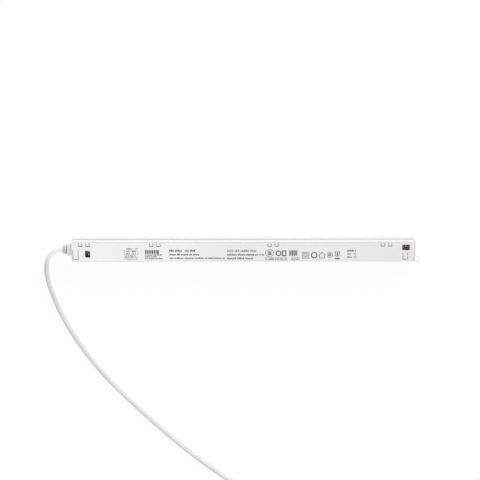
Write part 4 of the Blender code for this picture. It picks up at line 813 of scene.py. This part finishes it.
def coil_place(turns):
    slot, rise = coil_slot(turns)
    angle = COIL_ENTRY - 2 * math.pi * turns
    radius = COIL_INNER + slot * COIL_PITCH
    return COIL_CENTRE + Vector((radius * math.cos(angle), radius * math.sin(angle),
                                 COIL_LOW + rise * COIL_PITCH))


def plug_frame():
    return Matrix.Translation(PLUG_PLACE) @ Matrix.Rotation(PLUG_HEADING, 4, 'Z')


def lead_places():
    """Points of the whole centreline, from inside the strain relief to inside the plug's sleeve."""
    places = [Vector((LEAD_START, 0.0, Z_AXIS)), Vector((LEAD_START - 3.1 * MM, 0.0, Z_AXIS))]
    places += [Vector(place) * MM for place in LEAD_BEND]
    count = round(COIL_TURNS * COIL_STEPS)
    places += [coil_place(COIL_TURNS * index / count) for index in range(count + 1)]
    tip = plug_frame()
    places += [tip @ Vector((along * MM, 0.0, 0.0)) for along in LEAD_LAST]
    return places


class SUPPLY_OT_lead(bpy.types.Operator):
    """Lay the lead from the strain relief, in its bow and coil, to the plug, and tie the coil"""
    bl_idname = "supply.lead"
    bl_label = "Lead"

    def execute(self, context):
        values = context.scene.supply_lead
        # The lead gets painted light near its relief.
        sheath = sheath_rubber("lead_sheath", tuple(values.colour), painted_light_span=LEAD_PAINTED_LIGHT)
        curve = bpy.data.curves.new("mains_lead", 'CURVE')
        curve.dimensions = '3D'
        curve.bevel_depth = CORD_RADIUS
        curve.bevel_resolution = 6
        curve.resolution_u = 5
        curve.use_fill_caps = True
        curve.materials.append(sheath)
        places = lead_places()
        spline = curve.splines.new('BEZIER')
        spline.bezier_points.add(len(places) - 1)
        for point, place in zip(spline.bezier_points, places):
            point.co = place
            point.handle_left_type = 'AUTO'
            point.handle_right_type = 'AUTO'
        lead = bpy.data.objects.new("mains_lead", curve)
        context.scene.collection.objects.link(lead)
        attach(lead, "root")
        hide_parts("cord_run", "cord_coil", "cord_tail")
        self.tie(sheath)
        return {'FINISHED'}

    @staticmethod
    def tie(sheath):
        """A soft strap around the coil's turns, drawn tight over both layers."""
        turn = CORD_RADIUS + STRAP_THICKNESS + STRAP_SLACK
        low, top = COIL_LOW, COIL_LOW + COIL_PITCH
        near, upper, lower = (COIL_INNER + slot * COIL_PITCH for slot in (0, COIL_SLOTS - 2, COIL_SLOTS - 1))
        outline = []
        for x, z, first, last in ((lower, low, -90, 25), (upper, top, 25, 90), (near, top, 90, 180),
                                  (near, low, 180, 270)):
            for step in range(STRAP_STEPS + 1):
                angle = math.radians(first + (last - first) * step / STRAP_STEPS)
                outline.append((x + turn * math.cos(angle), z + turn * math.sin(angle)))
        shape = bmesh.new()
        verts = [shape.verts.new((x, -STRAP_WIDTH / 2, z)) for x, z in outline]
        edges = [shape.edges.new(pair) for pair in zip(verts, verts[1:] + verts[:1])]
        move_grown(shape, bmesh.ops.extrude_edge_only(shape, edges=edges), (0.0, STRAP_WIDTH, 0.0))
        bmesh.ops.recalc_face_normals(shape, faces=shape.faces)
        bmesh.ops.solidify(shape, geom=list(shape.faces), thickness=STRAP_THICKNESS)
        bmesh.ops.transform(shape, verts=shape.verts,
                            matrix=Matrix.Translation(COIL_CENTRE) @ Matrix.Rotation(TIE_ANGLE, 4, 'Z'))
        keep("coil_strap", shape, sheath, 40.0, ["coil_tie"])


# Plug
class SUPPLY_OT_plug(bpy.types.Operator):
    """Model the two-pin plug with its sleeve and pins"""
    bl_idname = "supply.plug"
    bl_label = "Plug"

    def execute(self, context):
        colour = tuple(context.scene.supply_lead.colour)
        white = moulded_plastic("plug_plastic", shade(colour, 1.18), 0.24, 0.5 * MM)
        place = plug_frame()
        shape = bmesh.new()
        outline = [(x * MM, y * MM) for x, y in PLUG_OUTLINE]
        outline += [(x, -y) for x, y in reversed(outline)]
        add_prism(shape, outline, -PLUG_HALF_HEIGHT, PLUG_HALF_HEIGHT)
        bmesh.ops.recalc_face_normals(shape, faces=shape.faces)
        bevel(shape, shape.edges, PLUG_ROUND, 6)
        bmesh.ops.transform(shape, matrix=place, verts=shape.verts)
        body = keep("plug_shell", shape, white, 60.0, ["plug_body"])
        shape = turned(self.sleeve_profile(), place)
        sleeve = keep("plug_sleeve", shape, sheath_rubber("sleeve_rubber", colour, 0.4), 50.0,
                      ["plug_strain_relief"])
        nickel = worked_metal("pin_nickel", (0.70, 0.68, 0.64), 0.24, 0.15, 0.15)
        profile = [(x * MM, r * MM) for x, r in ((PIN_ROOT, 0.0), (PIN_ROOT, PIN_SLEEVE)) + PIN_METAL]
        sleeve_end = PIN_METAL[0][0] * MM + 0.1 * MM
        for index, side in enumerate((-1, 1)):
            shape = turned(profile, place @ Matrix.Translation((0.0, side * PIN_OFFSET, 0.0)), 32)
            node = "plug_pin_%d" % (index + 1)
            pin = keep("dressed_" + node, shape, nickel, 40.0, [node])
            pin.data.materials.append(white)
            for face in pin.data.polygons:
                face.material_index = int((place.inverted() @ face.center).x < sleeve_end)
        return {'FINISHED'}

    @staticmethod
    def sleeve_profile():
        """Tapered sleeve with rounded grooves, from its tip on the lead to its root in the plug."""
        profile = [(-SLEEVE_LENGTH, 0.0), (-SLEEVE_LENGTH, SLEEVE_TIP - 0.3),
                   (0.3 - SLEEVE_LENGTH, SLEEVE_TIP)]
        pitch = SLEEVE_LENGTH / (SLEEVE_GROOVES + 1)
        for index in range(1, SLEEVE_GROOVES + 1):
            for step in range(-4, 5):
                along = index * pitch + step * pitch / 14
                radius = SLEEVE_TIP + (SLEEVE_ROOT - SLEEVE_TIP) * along / SLEEVE_LENGTH
                depth = SLEEVE_DEPTH * math.cos(step / 4 * math.pi / 2)
                profile.append((along - SLEEVE_LENGTH, radius - depth))
        profile += [(-0.3, SLEEVE_ROOT), (0.4, SLEEVE_ROOT), (0.4, 0.0)]
        return [(x * MM, r * MM) for x, r in profile]


# Circuit
class SUPPLY_OT_circuit(bpy.types.Operator):
    """Give the board, its parts and the cores behind the housing their materials"""
    bl_idname = "supply.circuit"
    bl_label = "Circuit"

    def execute(self, context):
        black = coated_part("epoxy_black", (0.02, 0.02, 0.022), 0.5, 0.4 * MM)
        blue = coated_part("lacquer_blue", (0.04, 0.14, 0.42), 0.32)
        yellow = coated_part("tape_yellow", (0.70, 0.50, 0.06), 0.42)
        ferrite = coated_part("ferrite_grey", (0.05, 0.05, 0.055), 0.72, 0.3 * MM)
        copper = wound_wire("winding_copper", (0.62, 0.24, 0.10))
        fins = worked_metal("heatsink_aluminium", (0.74, 0.74, 0.76), 0.32)
        finishes = {
            "circuit_board": laminate("board_laminate", (0.42, 0.24, 0.10)),
            "input_terminal_block": coated_part("terminal_green", (0.05, 0.22, 0.10), 0.42, 0.5 * MM),
            "fuse": coated_part("fuse_ceramic", (0.62, 0.56, 0.46), 0.5, 0.4 * MM),
            "line_core": coated_part("core_brown", (0.16, 0.06, 0.03), 0.4),
            "neutral_core": coated_part("core_blue", (0.03, 0.10, 0.35), 0.4),
            "cord_inside": sheath_rubber("inner_sheath", tuple(context.scene.supply_lead.colour)),
        }
        finishes["output_terminal_block"] = finishes["input_terminal_block"]
        for node in ("bridge_rectifier", "switching_transistor", "control_chip", "optocoupler",
                     "output_rectifier", "transformer_bobbin"):
            finishes[node] = black
        for node in ("varistor", "safety_capacitor"):
            finishes[node] = blue
        for node in ("film_capacitor", "transformer_winding"):
            finishes[node] = yellow
        for node in ("input_choke_core", "output_choke_core", "transformer_core"):
            finishes[node] = ferrite
        for node in ("input_choke_winding", "output_choke_winding"):
            finishes[node] = copper
        for node in ("switching_transistor_heatsink", "output_rectifier_heatsink"):
            finishes[node] = fins
        for node in ("bulk_capacitor_1", "bulk_capacitor_2", "output_capacitor"):
            low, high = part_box(node)
            finishes[node] = wrapped_can(node + "_sleeve", (0.02, 0.022, 0.03), low.x, high.x)
        for node, material in finishes.items():
            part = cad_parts[node]
            for index in range(len(part.material_slots)):
                part.material_slots[index].material = material
        return {'FINISHED'}


# Stage
class SUPPLY_OT_stage(bpy.types.Operator):
    """Set the pale floor, the soft lights, the surround and the camera"""
    bl_idname = "supply.stage"
    bl_label = "Stage"

    def execute(self, context):
        values = context.scene.supply_stage
        self.floor()
        self.surround(values.sky)
        self.lights(values.key, values.fill, values.panel)
        self.camera(values.distance, values.lens)
        context.scene.view_settings.view_transform = 'Standard'
        return {'FINISHED'}

    @staticmethod
    def floor():
        s = Surface("studio_floor")
        camera, glossy, through = (s.node("ShaderNodeLightPath", out="Is %s Ray" % kind)
                                   for kind in ("Camera", "Glossy", "Transmission"))
        seen = camera.maths('MAXIMUM', camera, camera.maths('MAXIMUM', glossy, through))
        matt = s.node("ShaderNodeBsdfDiffuse", None, {"Color": (0.93, 0.93, 0.93)})
        white = s.node("ShaderNodeEmission", None, {"Color": (1.0, 1.0, 1.0), "Strength": FLOOR_GLOW})
        made = s.node("ShaderNodeMixShader", None, {0: seen * FLOOR_SHARE, 1: matt, 2: white})
        s.tree.links.new(made.socket, s.output.inputs["Surface"])
        shape = bmesh.new()
        bmesh.ops.create_grid(shape, x_segments=1, y_segments=1, size=4.0,
                              matrix=Matrix.Translation((0.0, 0.0, FLOOR_HEIGHT)))
        mesh = bpy.data.meshes.new("studio_floor")
        shape.to_mesh(mesh)
        shape.free()
        mesh.materials.append(s.material)
        floor = bpy.data.objects.new("studio_floor", mesh)
        bpy.context.scene.collection.objects.link(floor)

    @staticmethod
    def surround(sky):
        world = bpy.data.worlds.new("studio_surround")
        world.use_nodes = True
        tree = world.node_tree
        tree.nodes.clear()
        paths = tree.nodes.new("ShaderNodeLightPath")
        matt = tree.nodes.new("ShaderNodeMapRange")
        tree.links.new(paths.outputs["Is Diffuse Ray"], matt.inputs["Value"])
        matt.inputs["To Min"].default_value = 1.0
        matt.inputs["To Max"].default_value = sky
        light = tree.nodes.new("ShaderNodeBackground")
        light.inputs["Color"].default_value = (1.0, 1.0, 1.0, 1.0)
        tree.links.new(matt.outputs["Result"], light.inputs["Strength"])
        output = tree.nodes.new("ShaderNodeOutputWorld")
        tree.links.new(light.outputs["Background"], output.inputs["Surface"])
        bpy.context.scene.world = world

    @staticmethod
    def lights(key, fill, panel):
        scene = bpy.context.scene
        for name, energy, place in (("key_light", key, KEY_FROM), ("fill_light", fill, FILL_FROM)):
            sun = bpy.data.lights.new(name, 'SUN')
            sun.energy = energy
            sun.angle = SUN_ANGLE
            lamp = bpy.data.objects.new(name, sun)
            lamp.rotation_euler = Vector(place).to_track_quat('Z', 'Y').to_euler()
            scene.collection.objects.link(lamp)
        for name, x, width in PANELS:
            box = bpy.data.lights.new(name, 'AREA')
            box.shape = 'RECTANGLE'
            box.size = width
            box.size_y = PANEL_LENGTH
            box.energy = math.pi * width * box.size_y * panel
            lamp = bpy.data.objects.new(name, box)
            lamp.location = (x, PANEL_Y, PANEL_Z)
            scene.collection.objects.link(lamp)

    @staticmethod
    def camera(distance, lens):
        data = bpy.data.cameras.new("photo_camera")
        data.lens = lens
        data.sensor_width = SENSOR_WIDTH
        data.shift_x, data.shift_y = CAMERA_SHIFT
        data.clip_start = 0.01
        view = bpy.data.objects.new("photo_camera", data)
        view.location = (0.0, distance * math.sin(CAMERA_TILT), distance * math.cos(CAMERA_TILT))
        view.rotation_euler = (-CAMERA_TILT, 0.0, CAMERA_ROLL)
        bpy.context.scene.collection.objects.link(view)
        bpy.context.scene.camera = view


STEPS = (SUPPLY_OT_lead, SUPPLY_OT_plug, SUPPLY_OT_housing, SUPPLY_OT_print, SUPPLY_OT_clamps,
         SUPPLY_OT_relief, SUPPLY_OT_circuit, SUPPLY_OT_stage)


class SUPPLY_PT_panel(bpy.types.Panel):
    """Sizes, colours and steps of the power supply"""
    bl_idname = "SUPPLY_PT_panel"
    bl_label = "Slim power supply"
    bl_space_type = 'VIEW_3D'
    bl_region_type = 'UI'
    bl_category = "Supply"

    def draw(self, context):
        column = self.layout.column()
        for key in GROUPS:
            group = getattr(context.scene, key)
            for name in group.bl_rna.properties.keys():
                if name not in ("rna_type", "name"):
                    column.prop(group, name)
            column.separator()
        for step in STEPS:
            column.operator(step.bl_idname)


GROUPS = {"supply_housing": SupplyHousing, "supply_print": SupplyPrint, "supply_clamp": SupplyClamp,
          "supply_lead": SupplyLead, "supply_stage": SupplyStage}


def register():
    for kind in (*GROUPS.values(), *STEPS, SUPPLY_PT_panel):
        bpy.utils.register_class(kind)
    for name, group in GROUPS.items():
        setattr(bpy.types.Scene, name, PointerProperty(type=group))


def unregister():
    for name in GROUPS:
        delattr(bpy.types.Scene, name)
    for kind in reversed((*GROUPS.values(), *STEPS, SUPPLY_PT_panel)):
        bpy.utils.unregister_class(kind)


def main():
    register()
    bpy.ops.supply.lead()
    bpy.ops.supply.plug()
    bpy.ops.supply.housing()
    bpy.ops.supply.print()
    bpy.ops.supply.clamps()
    bpy.ops.supply.relief()
    bpy.ops.supply.circuit()
    bpy.ops.supply.stage()


if __name__ == "__main__":
    main()
